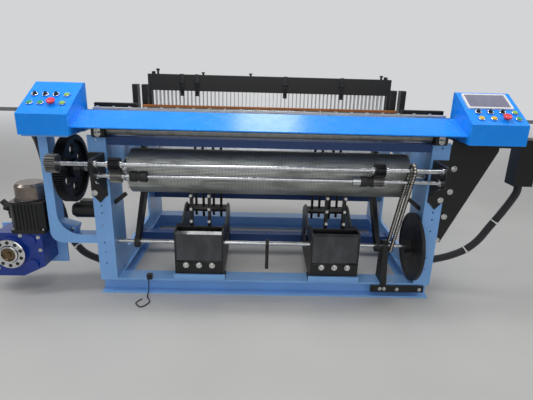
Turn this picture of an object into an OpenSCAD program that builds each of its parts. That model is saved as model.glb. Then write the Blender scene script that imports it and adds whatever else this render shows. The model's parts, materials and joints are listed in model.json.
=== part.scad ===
// Wire mesh loom seen from its take-up side: a plate frame on H rails, a breast
// cover between two consoles, a geared take-up roll, a rocking sley with rapiers,
// two heald frames on lift rods, and a warp beam with its back rest.
// Millimetres. Machine axes: x across the web, y from the front to the back, z up.

/* [Frame] */
// Width over the two front posts
frame_w = 1800; // [1760:10:1840]
// Depth over the front and rear base rails
frame_d = 1110; // [1100:5:1160]
// Height of the front posts
post_h = 870; // [866:1:876]
// Drop of the side plates below the post tops
plate_drop = 90; // [80:1:100]
// Rise of the rear posts above the front posts
rear_rise = 45; // [40:1:70]
// Width of the folded flange on each post
flange_w = 80; // [74:1:86]
// Thickness of the side plates
plate_t = 10; // [8:0.5:12]
// Height of the H section rails
rail_h = 90; // [86:1:94]
// Width of the H section rails
rail_b = 100; // [92:1:104]
// Web thickness of the H section rails
rail_web = 7; // [5:0.5:10]
// Flange thickness of the H section rails
rail_flange = 9; // [7:0.5:12]
// Radius of the anchor holes in the front rail's foot
anchor_r = 7; // [5:0.5:9]
// Side of the square cross ties
tie_s = 60; // [50:1:62]
// Wall of the square cross ties
tie_wall = 4; // [3:0.5:6]

/* [Breast] */
// Rise of the cover's front fold above the posts
cover_front_rise = 57; // [52:1:62]
// Rise of the cover's rear fold above the posts
cover_rear_rise = 116; // [112:1:120]
// Overhang of the cover in front of the posts
cover_reach = 120; // [112:1:126]
// Depth of the cover behind the post fronts
cover_back = 50; // [46:1:54]
// Sheet thickness of the cover
sheet_t = 3; // [2:0.5:4]
// Radius of the breast roller
breast_r = 22; // [18:1:24]
// Radius of the breast roller's journals
breast_stub_r = 12; // [9:0.5:14]
// Height of the fell bar
fell_h = 36; // [30:1:40]

/* [Consoles] */
// Width of the left console
left_console_w = 230; // [220:1:236]
// Width of the right console
right_console_w = 265; // [260:1:275]
// Rise of a panel's front edge above the posts
panel_front_rise = 116; // [110:1:122]
// Rise of a panel's rear edge above the posts
panel_rear_rise = 242; // [234:1:250]
// Reach of the consoles in front of the posts
console_reach = 150; // [144:1:156]
// Sheet thickness of the consoles
shell_t = 3; // [2:0.5:4]
// Radius of a push button cap
button_r = 11.2; // [10:0.1:12]
// Travel of a push button
button_travel = 4; // [3:0.5:4.5]
// Travel of an emergency stop
stop_travel = 5; // [4:0.5:6]

/* [Take-up] */
// Radius of the wound mesh
mesh_r = 110; // [90:1:111]
// Gap between the woven mesh and the side plates
mesh_gap = 110; // [90:5:160]
// Radius of the bare take-up roller
roller_r = 60; // [50:1:70]
// Drop of the roll's axis below the post tops
roll_drop = 180; // [176:1:184]
// Distance of the roll's axis behind the post fronts
roll_y = 50; // [46:1:54]
// Radius of the roll's shaft
roll_shaft_r = 20; // [16:0.5:24]
// Height of the feed shaft above the roll's axis
feed_rise = 70; // [66:1:74]
// Radius of the feed shaft
feed_shaft_r = 11; // [9:0.5:12]
// Radius of the press shaft
press_shaft_r = 10; // [8:0.5:11]
// Module of the take-up gear and its pinion
gear_m = 4; // [3.96:0.02:4.04]
// Face width of the take-up gear
gear_w = 50; // [40:1:54]
// Module of the two small gear pairs
pair_m = 3; // [2.9:0.02:3.1]
// Face width of the small gears
pair_w = 50; // [40:1:56]
// Angle by which the press shaft lies behind the feed shaft
pair_tilt = 14; // [12:0.5:17]

/* [Chain drive] */
// Pitch of the roller chain
chain_p = 15.875; // [15.8:0.025:15.95]
// Radius of the brake disc
disc_r = 185; // [170:1:190]
// Thickness of the brake disc
disc_t = 16; // [12:1:18]

/* [Sley] */
// Radius of the rocker shaft
rocker_r = 11; // [9:0.5:13]
// Thickness of a sley sword
sword_t = 24; // [18:1:26]
// Drop of the sley beam's underside below the post tops
sley_drop = 20; // [14:1:24]
// Distance of the reed behind the post fronts
reed_y = 315; // [310:1:322]
// Rise of the reed's cap above the posts
reed_rise = 122; // [118:1:126]
// Gap between the reed's ends and the side plates
reed_gap = 110; // [105:5:130]
// Length of a rapier
rapier_l = 740; // [700:5:745]

/* [Healds] */
// Gap between the heald frames and the side plates
heald_gap = 110; // [105:1:120]
// Top of the heald frames at mid shed
heald_top = 1150; // [1140:1:1160]
// Underside of the heald frames at mid shed
heald_bottom = 760; // [754:1:766]
// Height of the heald frames' top rail
heald_rail = 90; // [80:1:96]
// Thickness of a heald frame
heald_t = 16; // [12:1:18]
// Radius of a lift rod
lift_r = 8; // [6:0.5:9]

/* [Warp] */
// Radius of the warp beam's flanges
warp_flange_r = 200; // [180:1:205]
// Radius of the wound warp wire
warp_pack_r = 160; // [130:1:170]
// Radius of the back rest roller
back_rest_r = 40; // [32:1:44]

/* [Drive unit] */
// Width of the worm reducer
reducer_w = 300; // [290:1:306]
// Height of the worm reducer
reducer_h = 250; // [244:1:256]
// Depth of the worm reducer
reducer_d = 155; // [148:1:160]
// Side of the servo motor's body
servo_s = 176; // [160:1:180]
// Radius of the tension motor's body
tension_r = 42; // [36:1:44]
// Diameter of the cable conduits
conduit_d = 40; // [32:1:42]

/* [Hidden] */
$fn = 64;

// Running clearance of a shaft in its bore, on the radius
fit = 0.05;
// Clearance of a sliding piece in its guide, on each side
slip = 0.3;

// Side frames
half_w = frame_w / 2;
plate_out = half_w - flange_w;
plate_x = plate_out - plate_t;
plate_top = post_h - plate_drop;
rear_post_h = post_h + rear_rise;
post_d = 160;
roll_z = post_h - roll_drop;
bracket_z0 = roll_z - 130;
bracket_z1 = roll_z + 96;
window_y = [200, frame_d - 370];
window_z = [180, plate_top - 90];
window_r = 60;
rear_post_y = frame_d - 190;
flange_holes = [180, 245, 300, 400, bracket_z0 - 95, bracket_z0 - 55, post_h - 25];
flange_hole_r = 5;

// Rear rollers and cross ties
back_rest_y = frame_d - 60;
back_rest_z = rear_post_h - 55;
back_rest_stub_r = 12;
warp_y = frame_d - 230;
warp_shaft_r = 20;
front_tie_y = 15;
front_tie_d = 60;
front_tie_z = post_h - 50;
front_tie_h = 40;
mid_tie_y = 520;
lower_tie_y = frame_d - 210;
lower_tie_z = 270;
rear_tie_y = frame_d - 20 - tie_s;
rear_tie_z = plate_top - 40;
warp_z = rear_tie_z - 180;

// Breast
cover_front_z = post_h + cover_front_rise;
cover_rear_z = post_h + cover_rear_rise;
cover_slope = (cover_rear_z - cover_front_z) / (cover_back + cover_reach);
cover_lip = 24;
cover_drop = 1.06 * sheet_t;
block_w = 60;
block_front = 70;
breast_y = -20;
breast_z = post_h + 30;
fell_y = 88;
fell_d = 38;
fell_z = post_h + 88;
fell_half = half_w - 10;
fell_nub_pitch = 80;

// Consoles
console_z = post_h + 20;
panel_front_z = post_h + panel_front_rise;
panel_rear_z = post_h + panel_rear_rise;
console_back = 100;
panel_back = 80;
shelf_t = 8;
left_x1 = -half_w - 20;
left_x0 = left_x1 - left_console_w;
right_x0 = half_w + 15;
right_x1 = right_x0 + right_console_w;
panel_a = atan2(panel_rear_z - panel_front_z, panel_back + console_reach);
bezel_h = 6;
bezel_wall = 3.5;
left_cols = [38, 88, 138, 188];
left_rows = [80, 148];
right_cols = [54, 112, 170, 228];
right_rows = [44, 94];
screen_at = [18, 122];
screen_size = [218, 122];
screen_rim = 10;

// Gear train
gear_n = 84;
pinion_n = 20;
pair_n = 20;
tooth_play = 0.35;
centre_d = gear_m * (gear_n + pinion_n) / 2;
feed_z = roll_z + feed_rise;
feed_y = roll_y - sqrt(pow(centre_d, 2) - pow(feed_rise, 2));
pair_turn = pair_tilt - 90;
press_y = feed_y + pair_m * pair_n * cos(pair_turn);
press_z = feed_z + pair_m * pair_n * sin(pair_turn);
mesh_w = 2 * (plate_x - mesh_gap);
mesh_turn = atan2(feed_rise, feed_y - roll_y);
gear_x = -half_w - 110;
pair_x = [176 - half_w, half_w - 386];
pinion_r = gear_m * (pinion_n / 2 + 1);
collar_r = feed_shaft_r + 7;
collar_w = 12;
arm_t = 14;

// Chain drive: each strand has an even count of links, near the wanted height of its lower shaft
rocker_want_z = 291;
strand_links = 2 * round(norm([roll_y - feed_y, feed_z - rocker_want_z]) / chain_p / 2);
sprocket_n = 12;
chain_x = half_w - 230;
sprocket_r = chain_p / (2 * sin(180 / sprocket_n));
chain_c = strand_links * chain_p;
rocker_y = roll_y;
rocker_z = feed_z - sqrt(pow(chain_c, 2) - pow(rocker_y - feed_y, 2));
chain_a = atan2(rocker_z - feed_z, rocker_y - feed_y);
chain_in = 10;
link_r = 7;
outer_link_r = 6.3;
link_t = 2;
chain_roller_r = 5;
chain_pin_r = 2.6;
disc_x = plate_x - 28;
pedestal_x = half_w - 275;
pedestal_w = 30;
shaft_gap = 4;

// Sley
sley_z = post_h - sley_drop;
reed_top = post_h + reed_rise;
reed_half = plate_x - reed_gap;
sword_x = [200 - half_w, half_w - 300];
sword_knee = [215, roll_z - 150];
sley_d = 60;
sley_h = 50;
sley_half = half_w + 50;
reed_t = 6;
cap_d = 22;
cap_h = 12;
dent_n = 100;
rapier_w = 8;
rapier_h = 20;
rapier_y = reed_y - 30;
rapier_z = reed_top - 40;
rapier_tip = reed_half + 50;
rapier_guide_x = reed_half + 20;
rapier_guide_h = rapier_z + 48 - sley_z - sley_h;

// Healds and their lift units
heald_half = plate_x - heald_gap;
heald_y = [455, 485];
heald_foot = 40;
heald_stay = 18;
heald_n = 60;
guide_x = [heald_half + 8, heald_half + 62];
guide_w = 30;
guide_top = post_h + 220;
lift_x = half_w - 534;
lift_w = 262;
lift_t = 10;
lift_top = 400;
lift_rod_x = [[-80, 30], [-30, 80]];
lift_rod_z = 290;
lift_guide_t = 14;
lift_bolt_pitch = 70;
lift_bolt_z = 178;

// Drive unit
outrigger_x = -half_w - 246;
outrigger_z = 290;
outrigger_y = 20;
reducer_x1 = outrigger_x - 44;
reducer_x0 = reducer_x1 - reducer_w;
reducer_z = 95;
worm_x = reducer_x1 - 54 - 8;
wheel_x = reducer_x1 - 167;
wheel_z = 235;
motor_plate_t = 12;
tension_y = 120;
tension_z = roll_z - 250;
post_x = half_w + 390;
post_w = 100;
post_z = console_z - 250;

// Routes of the two conduits, from their upper gland down to the frame
left_route = [
    [-1150, 50, 935], [-1180, 50, 935], [-1225, 105, 900], [-1240, 195, 800], [-1225, 215, 660],
    [-1200, 215, 520], [-1165, 215, 400], [-1140, 205, 270], [-1060, 180, 165], [-940, 150, 125],
    [-880, 150, 125], [-820, 150, 125]
];
right_route = [
    [1340, 105, 640], [1340, 105, 590], [1290, 105, 490], [1232, 105, 394], [1180, 105, 310],
    [1117, 105, 252], [1040, 105, 215], [967, 105, 194], [880, 105, 180], [820, 105, 180]
];

// Corners of the whole machine, which set the origin
y_low = feed_y - pinion_r;

// Moves machine coordinates so that the origin lies under the middle
module place() {
    translate([0, -(y_low + frame_d) / 2, 0]) children();
}

// Flat plate in a y-z plane, from x0 with thickness t
module yz_plate(x0, t) {
    translate([x0, 0, 0]) rotate([90, 0, 90]) linear_extrude(t) children();
}

// Flat plate in an x-z plane, from y0 with thickness t
module xz_plate(y0, t) {
    translate([0, y0 + t, 0]) rotate([90, 0, 0]) linear_extrude(t) children();
}

// Round bar along x
module x_rod(x0, x1, y, z, r) {
    translate([x0, y, z]) rotate([0, 90, 0]) cylinder(h = x1 - x0, r = r);
}

// Box from its low corner
module box(corner, size) {
    translate(corner) cube(size);
}

// Rectangle with round corners, from its low corner
module round_rect(size, r) {
    translate([r, 0]) square([size[0] - 2 * r, size[1]]);
    translate([0, r]) square([size[0], size[1] - 2 * r]);
    for (x = [r, size[0] - r], y = [r, size[1] - r]) translate([x, y]) circle(r);
}

// The right-hand piece and its mirror image
module both_sides() {
    children();
    mirror([1, 0, 0]) children();
}

// H section seen along its length
module h_section() {
    square([rail_b, rail_flange]);
    translate([0, rail_h - rail_flange]) square([rail_b, rail_flange]);
    translate([(rail_b - rail_web) / 2, 0]) square([rail_web, rail_h]);
}

// Hollow cross tie along x between the side plates
module cross_tie(y, z, d, h) {
    yz_plate(-plate_x, 2 * plate_x) translate([y, z]) difference() {
        square([d, h]);
        translate([tie_wall, tie_wall]) square([d - 2 * tie_wall, h - 2 * tie_wall]);
    }
}

// Involute gear outline; a tooth points along its +x
function involute(a) = tan(a) - a * PI / 180;
function polar(r, a) = [r * cos(a), r * sin(a)];
function half_tooth(r, m, n) =
    let (a = acos(min(1, m * n / 2 * cos(20) / r)))
    90 / n - tooth_play / (m * n) * 180 / PI + (involute(20) - involute(a)) * 180 / PI;
function gear_outline(m, n) =
    let (
        pitch_r = m * n / 2,
        root_r = pitch_r - 1.25 * m,
        start_r = max(root_r + 0.05 * m, pitch_r * cos(20)),
        radii = [for (i = [0:4]) start_r + (pitch_r + m - start_r) * i / 4]
    )
    [for (k = [0:n - 1]) let (c = 360 * k / n) each concat(
        [polar(root_r, c - half_tooth(start_r, m, n))],
        [for (r = radii) polar(r, c - half_tooth(r, m, n))],
        [for (i = [4:-1:0]) polar(radii[i], c + half_tooth(radii[i], m, n))],
        [polar(root_r, c + half_tooth(start_r, m, n))]
    )];

module gear(x, w, y, z, m, n, turn, bore) {
    yz_plate(x - w / 2, w) translate([y, z]) difference() {
        rotate(turn) polygon(gear_outline(m, n));
        circle(bore);
    }
}

// Sprocket whose teeth end just inside the chain's rollers
module sprocket(y, z, bore) {
    tip_r = sprocket_r - chain_roller_r - slip;
    yz_plate(chain_x - chain_in / 2 + 1, chain_in - 2) translate([y, z]) difference() {
        for (k = [0:sprocket_n - 1]) rotate(360 * k / sprocket_n)
            polygon([[0, -6], [tip_r - 5, -4], [tip_r, -1.5], [tip_r, 1.5], [tip_r - 5, 4], [0, 6]]);
        circle(bore);
    }
}

// Frame
module base_rails() {
    anchor_y = (rail_b - rail_web) / 4;
    color("cornflowerblue") for (y = [0, frame_d - rail_b]) difference() {
        yz_plate(-half_w, frame_w) translate([y, 0]) h_section();
        for (x = [-half_w + 60, half_w - 60], side = [anchor_y, rail_b - anchor_y])
            translate([x, y + side, -1]) cylinder(h = rail_flange + 2, r = anchor_r);
    }
}

module side_plate_outline() {
    difference() {
        polygon([
            [0, rail_h], [frame_d, rail_h], [frame_d, rear_post_h],
            [rear_post_y + 50, rear_post_h], [rear_post_y, plate_top],
            [post_d + 55, plate_top], [post_d, plate_top + 50], [post_d, post_h], [0, post_h]
        ]);
        translate([window_y[0], window_z[0]])
            round_rect([window_y[1] - window_y[0], window_z[1] - window_z[0]], window_r);
        translate([roll_y, roll_z]) circle(roll_shaft_r + 20);
        translate([warp_y, warp_z]) circle(warp_shaft_r + fit);
        translate([back_rest_y, back_rest_z]) circle(back_rest_stub_r + fit);
        translate([rocker_y, rocker_z]) circle(rocker_r + fit);
    }
}

// Front flange of a post, which opens for the roll bracket
module front_flange() {
    difference() {
        translate([plate_x, rail_h]) square([half_w - plate_x, post_h - rail_h]);
        translate([plate_x - 1, bracket_z0]) square([half_w, bracket_z1 - bracket_z0]);
        for (z = flange_holes) translate([plate_out + flange_w / 2, z]) circle(flange_hole_r);
    }
}

module side_frame() {
    color("cornflowerblue") {
        yz_plate(plate_x, plate_t) side_plate_outline();
        xz_plate(0, plate_t) front_flange();
        xz_plate(frame_d - plate_t, plate_t)
            translate([plate_x, rail_h]) square([half_w - plate_x, rear_post_h - rail_h]);
        xz_plate(rail_b, frame_d - 2 * rail_b) translate([half_w - rail_b, 0]) h_section();
    }
}

module right_side_frame() { side_frame(); }
module left_side_frame() { mirror([1, 0, 0]) side_frame(); }

module cross_ties() {
    color("steelblue") {
        cross_tie(front_tie_y, front_tie_z, front_tie_d, front_tie_h);
        cross_tie(mid_tie_y, rail_h, tie_s, tie_s);
        cross_tie(lower_tie_y, lower_tie_z, tie_s, tie_s);
        cross_tie(rear_tie_y, rear_tie_z, tie_s, tie_s);
    }
}

// Breast: folded cover, fell bar, roller and the blocks that carry them
function cover_z(y) = cover_front_z + (y + cover_reach) * cover_slope;

module breast_cover() {
    inner = cover_reach - sheet_t;
    color("dodgerblue") yz_plate(left_x1, right_x0 - left_x1) polygon([
        [-cover_reach, cover_front_z - cover_lip], [-cover_reach, cover_front_z],
        [cover_back, cover_rear_z], [cover_back, cover_rear_z - cover_lip / 2],
        [cover_back - sheet_t, cover_rear_z - cover_lip / 2],
        [cover_back - sheet_t, cover_z(cover_back - sheet_t) - cover_drop],
        [-inner, cover_z(-inner) - cover_drop], [-inner, cover_front_z - cover_lip]
    ]);
}

module fell_bar() {
    color("gainsboro") {
        box([-fell_half, fell_y, fell_z], [2 * fell_half, fell_d, fell_h]);
        for (x = [-fell_half + 20 : fell_nub_pitch : fell_half - 20])
            translate([x, fell_y + 14, fell_z + fell_h]) cylinder(h = 7, r = 8, $fn = 6);
    }
}

module bearing_blocks() {
    block_back = cover_back - sheet_t - 4;
    color("black") both_sides() yz_plate(plate_out - block_w / 2, block_w) difference() {
        polygon([
            [-block_front, post_h + 12], [10 - block_front, post_h], [fell_y + fell_d, post_h],
            [fell_y + fell_d, fell_z], [block_back, fell_z],
            [block_back, cover_z(block_back) - cover_drop],
            [-block_front, cover_z(-block_front) - cover_drop]
        ]);
        translate([breast_y, breast_z]) circle(breast_stub_r + fit);
    }
}

module breast_roller() {
    end_x = plate_out - block_w / 2 - 2;
    color("silver") {
        x_rod(-end_x, end_x, breast_y, breast_z, breast_r);
        x_rod(-plate_out - block_w / 2, plate_out + block_w / 2, breast_y, breast_z, breast_stub_r);
    }
}

// Castings on the posts that carry the take-up roll and the two shafts before it
module roll_brackets() {
    color("black") both_sides() difference() {
        union() {
            yz_plate(plate_out, flange_w) polygon([
                [-8, bracket_z0 + 2], [plate_t + 2, bracket_z0 + 2], [108, roll_z - 70],
                [108, roll_z + 70], [plate_t + 2, bracket_z1 - 2], [-8, bracket_z1 - 2]
            ]);
            xz_plate(-8, 8) polygon([
                [plate_out + 6, bracket_z0 + 2], [plate_out + flange_w / 2, bracket_z0 - 36],
                [half_w - 6, bracket_z0 + 2]
            ]);
            yz_plate(plate_out, arm_t) polygon([
                [-8, bracket_z0 + 40], [-8, bracket_z1 - 2], [feed_y + 24, feed_z + 26],
                [feed_y - 20, feed_z + 26], [feed_y - 28, feed_z + 14], [feed_y - 28, press_z - 12],
                [feed_y - 16, press_z - 24], [feed_y + 20, press_z - 24]
            ]);
        }
        x_rod(plate_out - 1, half_w + 1, roll_y, roll_z, roll_shaft_r + fit);
        x_rod(plate_out - 1, half_w + 1, feed_y, feed_z, feed_shaft_r + fit);
        x_rod(plate_out - 1, half_w + 1, press_y, press_z, press_shaft_r + fit);
    }
}

// Plate and shelf that carry the right console and its cable post
module console_gusset() {
    arm_z = console_z - 48;
    gusset_z = bracket_z0 - 226;
    color("black") {
        xz_plate(plate_t, 12) difference() {
            polygon([
                [plate_out + 38, gusset_z], [half_w + 22, gusset_z], [half_w + 120, bracket_z0 - 8],
                [right_x1 - 31, console_z - 56], [right_x1 - 31, console_z],
                [half_w + 14, console_z], [half_w + 14, post_h - 8], [plate_out + 38, post_h - 8]
            ]);
            translate([plate_out, bracket_z0 - 2])
                square([flange_w + 2, bracket_z1 - bracket_z0 + 4]);
        }
        box([half_w + 14, 10 - console_reach, console_z - shelf_t],
            [right_x1 - half_w - 14, console_back + console_reach - 20, shelf_t]);
        box([right_x1 - 40, 60, arm_z], [post_x + post_w - right_x1 + 40, 30, console_z - arm_z - 4]);
        box([post_x, 60, post_z], [post_w, 90, console_z - 4 - post_z]);
    }
}

// Folded support of the left console and the drive unit
module outrigger_band(t, inner_r) {
    past = 200;
    size = [-plate_out - outrigger_x + past, console_z - outrigger_z + past];
    difference() {
        translate([outrigger_x, outrigger_z]) round_rect(size, 60);
        translate([outrigger_x + t, outrigger_z + t]) round_rect(size, inner_r);
        translate([outrigger_x - 1, console_z]) square([size[0] + past, 2 * past]);
        translate([-plate_out, outrigger_z - 1]) square([2 * past, size[1] + past]);
    }
}

module left_outrigger() {
    depth = reducer_d + motor_plate_t - outrigger_y;
    color("cornflowerblue") {
        xz_plate(outrigger_y, depth) outrigger_band(10, 50);
        xz_plate(outrigger_y - 8, 8) outrigger_band(45, 120);
        xz_plate(reducer_d, motor_plate_t) translate([reducer_x0 + 10, reducer_z + 15])
            square([outrigger_x + 10 - reducer_x0 - 10, reducer_h - 20]);
        box([outrigger_x, outrigger_y, console_z - shelf_t], [left_x1 - outrigger_x, depth, shelf_t]);
        box([left_x0 + 10, 10 - console_reach, console_z - shelf_t],
            [left_console_w - 20, console_reach + outrigger_y, shelf_t]);
    }
}

// Consoles: folded shells with a raised ring for each control
module console_outline(inset) {
    back = console_back - inset;
    front = inset - console_reach;
    rise = inset / cos(panel_a);
    polygon([
        [front, console_z - 1], [front, panel_front_z + inset * tan(panel_a) - rise],
        [panel_back - inset * tan(panel_a / 2), panel_rear_z - inset], [back, panel_rear_z - inset],
        [back, console_z - 1]
    ]);
}

module console_shell(x0, w) {
    difference() {
        intersection() {
            yz_plate(x0, w) console_outline(0);
            box([x0, -console_reach, console_z], [w, console_back + console_reach, 400]);
        }
        yz_plate(x0 + shell_t, w - 2 * shell_t) console_outline(shell_t);
    }
}

// Point on a sloping panel: u from its left edge, v up the slope, z out of it
module on_panel(x0, u, v) {
    translate([x0 + u, v * cos(panel_a) - console_reach, panel_front_z + v * sin(panel_a)])
        rotate([panel_a, 0, 0]) children();
}

module on_left(col, row) { on_panel(left_x0, left_cols[col], left_rows[row]) children(); }
module on_right(col, row) { on_panel(right_x0, right_cols[col], right_rows[row]) children(); }

module bezel_ring() {
    sunk = shell_t / 2;
    difference() {
        translate([0, 0, -sunk]) cylinder(h = bezel_h + sunk, r = button_r + slip + bezel_wall);
        translate([0, 0, 0.2]) cylinder(h = bezel_h, r = button_r + slip);
    }
}

module left_console() {
    color("dodgerblue") {
        console_shell(left_x0, left_console_w);
        for (col = [0:3], row = [0:1]) on_left(col, row) bezel_ring();
    }
}

module right_console() {
    color("dodgerblue") {
        console_shell(right_x0, right_console_w);
        for (col = [0:3], row = [0:1]) on_right(col, row) bezel_ring();
    }
}

module touch_screen() {
    color("whitesmoke") on_panel(right_x0, screen_at[0], screen_at[1]) difference() {
        linear_extrude(8) round_rect(screen_size, 6);
        translate([screen_rim, screen_rim, 5])
            cube([screen_size[0] - 2 * screen_rim, screen_size[1] - 2 * screen_rim, 8]);
    }
}

// Push button cap, which stands clear of the panel by its travel
module button_cap() {
    translate([0, 0, button_travel + 1]) {
        cylinder(h = 4.5, r = button_r);
        translate([0, 0, 4.5]) cylinder(h = 1, r1 = button_r, r2 = button_r - 1);
    }
}

module stop_cap() {
    cap_z = bezel_h + stop_travel + 1;
    translate([0, 0, stop_travel + 0.8]) cylinder(h = cap_z - stop_travel, r = button_r);
    translate([0, 0, cap_z]) rotate_extrude()
        polygon([[0, 0], [17, 0], [20, 4], [20, 7], [17, 11], [10, 13], [0, 13]]);
}

module selector_knob() {
    translate([0, 0, 0.8]) cylinder(h = bezel_h + 0.5, r = button_r);
    translate([-4, 1 - button_r, bezel_h + 1]) linear_extrude(10) round_rect([8, 2 * button_r - 2], 3);
}

module left_selector_a() { color("black") on_left(0, 1) selector_knob(); }
module left_selector_b() { color("black") on_left(1, 1) selector_knob(); }
module left_selector_c() { color("black") on_left(2, 1) selector_knob(); }
module left_stop_button() { color("crimson") on_left(2, 0) stop_cap(); }
module left_button_a() { color("seagreen") on_left(0, 0) button_cap(); }
module left_button_b() { color("seagreen") on_left(1, 0) button_cap(); }
module left_button_c() { color("yellowgreen") on_left(3, 0) button_cap(); }
module left_button_d() { color("yellowgreen") on_left(3, 1) button_cap(); }
module right_selector_a() { color("black") on_right(0, 1) selector_knob(); }
module right_selector_b() { color("black") on_right(1, 1) selector_knob(); }
module right_selector_c() { color("black") on_right(2, 1) selector_knob(); }
module right_stop_button() { color("crimson") on_right(2, 0) stop_cap(); }
module right_button_a() { color("gold") on_right(0, 0) button_cap(); }
module right_button_b() { color("gold") on_right(1, 0) button_cap(); }
module right_button_c() { color("seagreen") on_right(3, 0) button_cap(); }
module right_button_d() { color("yellowgreen") on_right(3, 1) button_cap(); }

// Drive unit
module gear_reducer() {
    low = 60;
    color("navy") {
        xz_plate(0, reducer_d) polygon([
            [reducer_x0 + low / 2, reducer_z], [worm_x - low, reducer_z], [reducer_x1, reducer_z + low],
            [reducer_x1, reducer_z + reducer_h], [reducer_x0 + low, reducer_z + reducer_h],
            [reducer_x0, reducer_z + reducer_h - low], [reducer_x0, reducer_z + low / 2]
        ]);
        translate([wheel_x, 0, wheel_z]) rotate([90, 0, 0]) cylinder(h = 14, r = 82);
        translate([wheel_x, -14, wheel_z]) rotate([90, 0, 0]) difference() {
            cylinder(h = 8, r = 66);
            cylinder(h = 9, r = 38);
        }
        translate([wheel_x, -14, wheel_z]) rotate([90, 0, 0]) cylinder(h = 5, r = 24);
        for (z = [reducer_z + 70, reducer_z + reducer_h - 40])
            translate([worm_x, 0, z]) rotate([90, 0, 0]) cylinder(h = 10, r = 30);
    }
}

module servo_motor() {
    mid_y = reducer_d / 2;
    base_z = reducer_z + reducer_h;
    corner = 26;
    half = servo_s / 2;
    color("black") translate([worm_x, mid_y, base_z]) {
        linear_extrude(18) round_rect_centred(servo_s, 12);
        translate([0, 0, 18]) linear_extrude(150) polygon([
            [corner - half, -half], [half - corner, -half], [half, corner - half], [half, half - corner],
            [half - corner, half], [corner - half, half], [-half, half - corner], [-half, corner - half]
        ]);
        translate([0, 0, 168]) cylinder(h = 78, r = half - 12);
        translate([0, 0, 246]) cylinder(h = 12, r1 = half - 12, r2 = half - 24);
        translate([-half - 34, -22, 60]) cube([44, 44, 46]);
        translate([-half - 22, 0, 106]) cylinder(h = 22, r = 17);
    }
}

module round_rect_centred(side, r) {
    translate([-side / 2, -side / 2]) round_rect([side, side], r);
}

module tension_motor() {
    color("black") {
        x_rod(-half_w - 140, -half_w - 5, tension_y, tension_z, tension_r);
        x_rod(-half_w - 5, -plate_out, tension_y, tension_z, tension_r - 12);
        x_rod(-half_w - 154, -half_w - 140, tension_y, tension_z, tension_r - 8);
        box([-half_w - 110, tension_y - 22, tension_z + tension_r - 8], [70, 44, 24]);
    }
}

// Tube swept along a hand-chosen route, as a smooth curve through its points
function route_at(p, i) = p[max(0, min(len(p) - 1, i))];
function curve(p, i, t) = let (
        a = route_at(p, i - 1),
        b = route_at(p, i),
        c = route_at(p, i + 1),
        d = route_at(p, i + 2)
    ) b + t * (c - a) / 2 + t * t * (a - 2.5 * b + 2 * c - d / 2) + t * t * t * (b - c + (d - a) / 3) * 1.5;
function unit(v) = v / norm(v);
function centres(p, steps) = concat(
    [for (i = [0:len(p) - 2], k = [0:steps - 1]) curve(p, i, k / steps)], [p[len(p) - 1]]);

module swept_tube(route, r, steps, sides) {
    path = centres(route, steps);
    last = len(path) - 1;
    rings = [for (i = [0:last]) let (
            along = i == 0 ? unit(route[1] - route[0])
                : i == last ? unit(route[len(route) - 1] - route[len(route) - 2])
                : unit(path[i + 1] - path[i - 1]),
            side = unit(cross(along, [0, 1, 0])),
            up = cross(side, along)
        ) each [for (k = [0:sides - 1]) path[i] + r * (cos(360 * k / sides) * side + sin(360 * k / sides) * up)]];
    faces = concat(
        [[for (k = [0:sides - 1]) k]],
        [for (i = [0:last - 1], k = [0:sides - 1]) let (n = (k + 1) % sides)
            [i * sides + k, (i + 1) * sides + k, (i + 1) * sides + n, i * sides + n]],
        [[for (k = [sides - 1:-1:0]) last * sides + k]]
    );
    polyhedron(rings, faces);
}

module left_conduit() { color("black") swept_tube(left_route, conduit_d / 2, 2, 10); }
module right_conduit() { color("black") swept_tube(right_route, conduit_d / 2, 2, 10); }

// Heald lift units: two plates on a foot, with a guide for the lift rods behind
module lift_side_outline() {
    difference() {
        polygon([
            [8, rail_h + 8], [mid_tie_y, rail_h + 8], [mid_tie_y, 330], [heald_y[0] - 40, lift_top],
            [heald_y[0] - 90, lift_top], [220, 330], [130, 370], [20, 370], [8, 350]
        ]);
        translate([rocker_y, rocker_z]) circle(rocker_r + 9);
        translate([160, 190]) round_rect([220, 90], 30);
    }
}

module lift_unit() {
    low = lift_x - lift_w / 2;
    color("black") {
        for (x = [low, low + lift_w - lift_t]) yz_plate(x, lift_t) lift_side_outline();
        box([low - 8, 2, rail_h], [lift_w + 16, rail_b - 4, 8]);
        box([low, 90, rail_h + 8], [lift_w, mid_tie_y - 90, 10]);
        box([low, 10, rail_h + 8], [lift_w, 12, 90]);
        for (dx = [-lift_bolt_pitch, 0, lift_bolt_pitch])
            translate([lift_x + dx, 11, lift_bolt_z]) rotate([90, 0, 0]) cylinder(h = 12, r = 13);
        difference() {
            box([low, heald_y[0] - 42, 340], [lift_w, 100, lift_guide_t]);
            for (i = [0:1], dx = lift_rod_x[i])
                translate([lift_x + dx, heald_y[i] + heald_t / 2, 330]) cylinder(h = 40, r = lift_r + fit);
        }
    }
}

module lift_units() { both_sides() lift_unit(); }

module lift_panels() {
    low = lift_x - lift_w / 2;
    color("dimgray") both_sides() yz_plate(low + lift_t, lift_w - 2 * lift_t)
        polygon([[10, 200], [18, 200], [30, 362], [22, 366], [10, 352]]);
}

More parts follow.
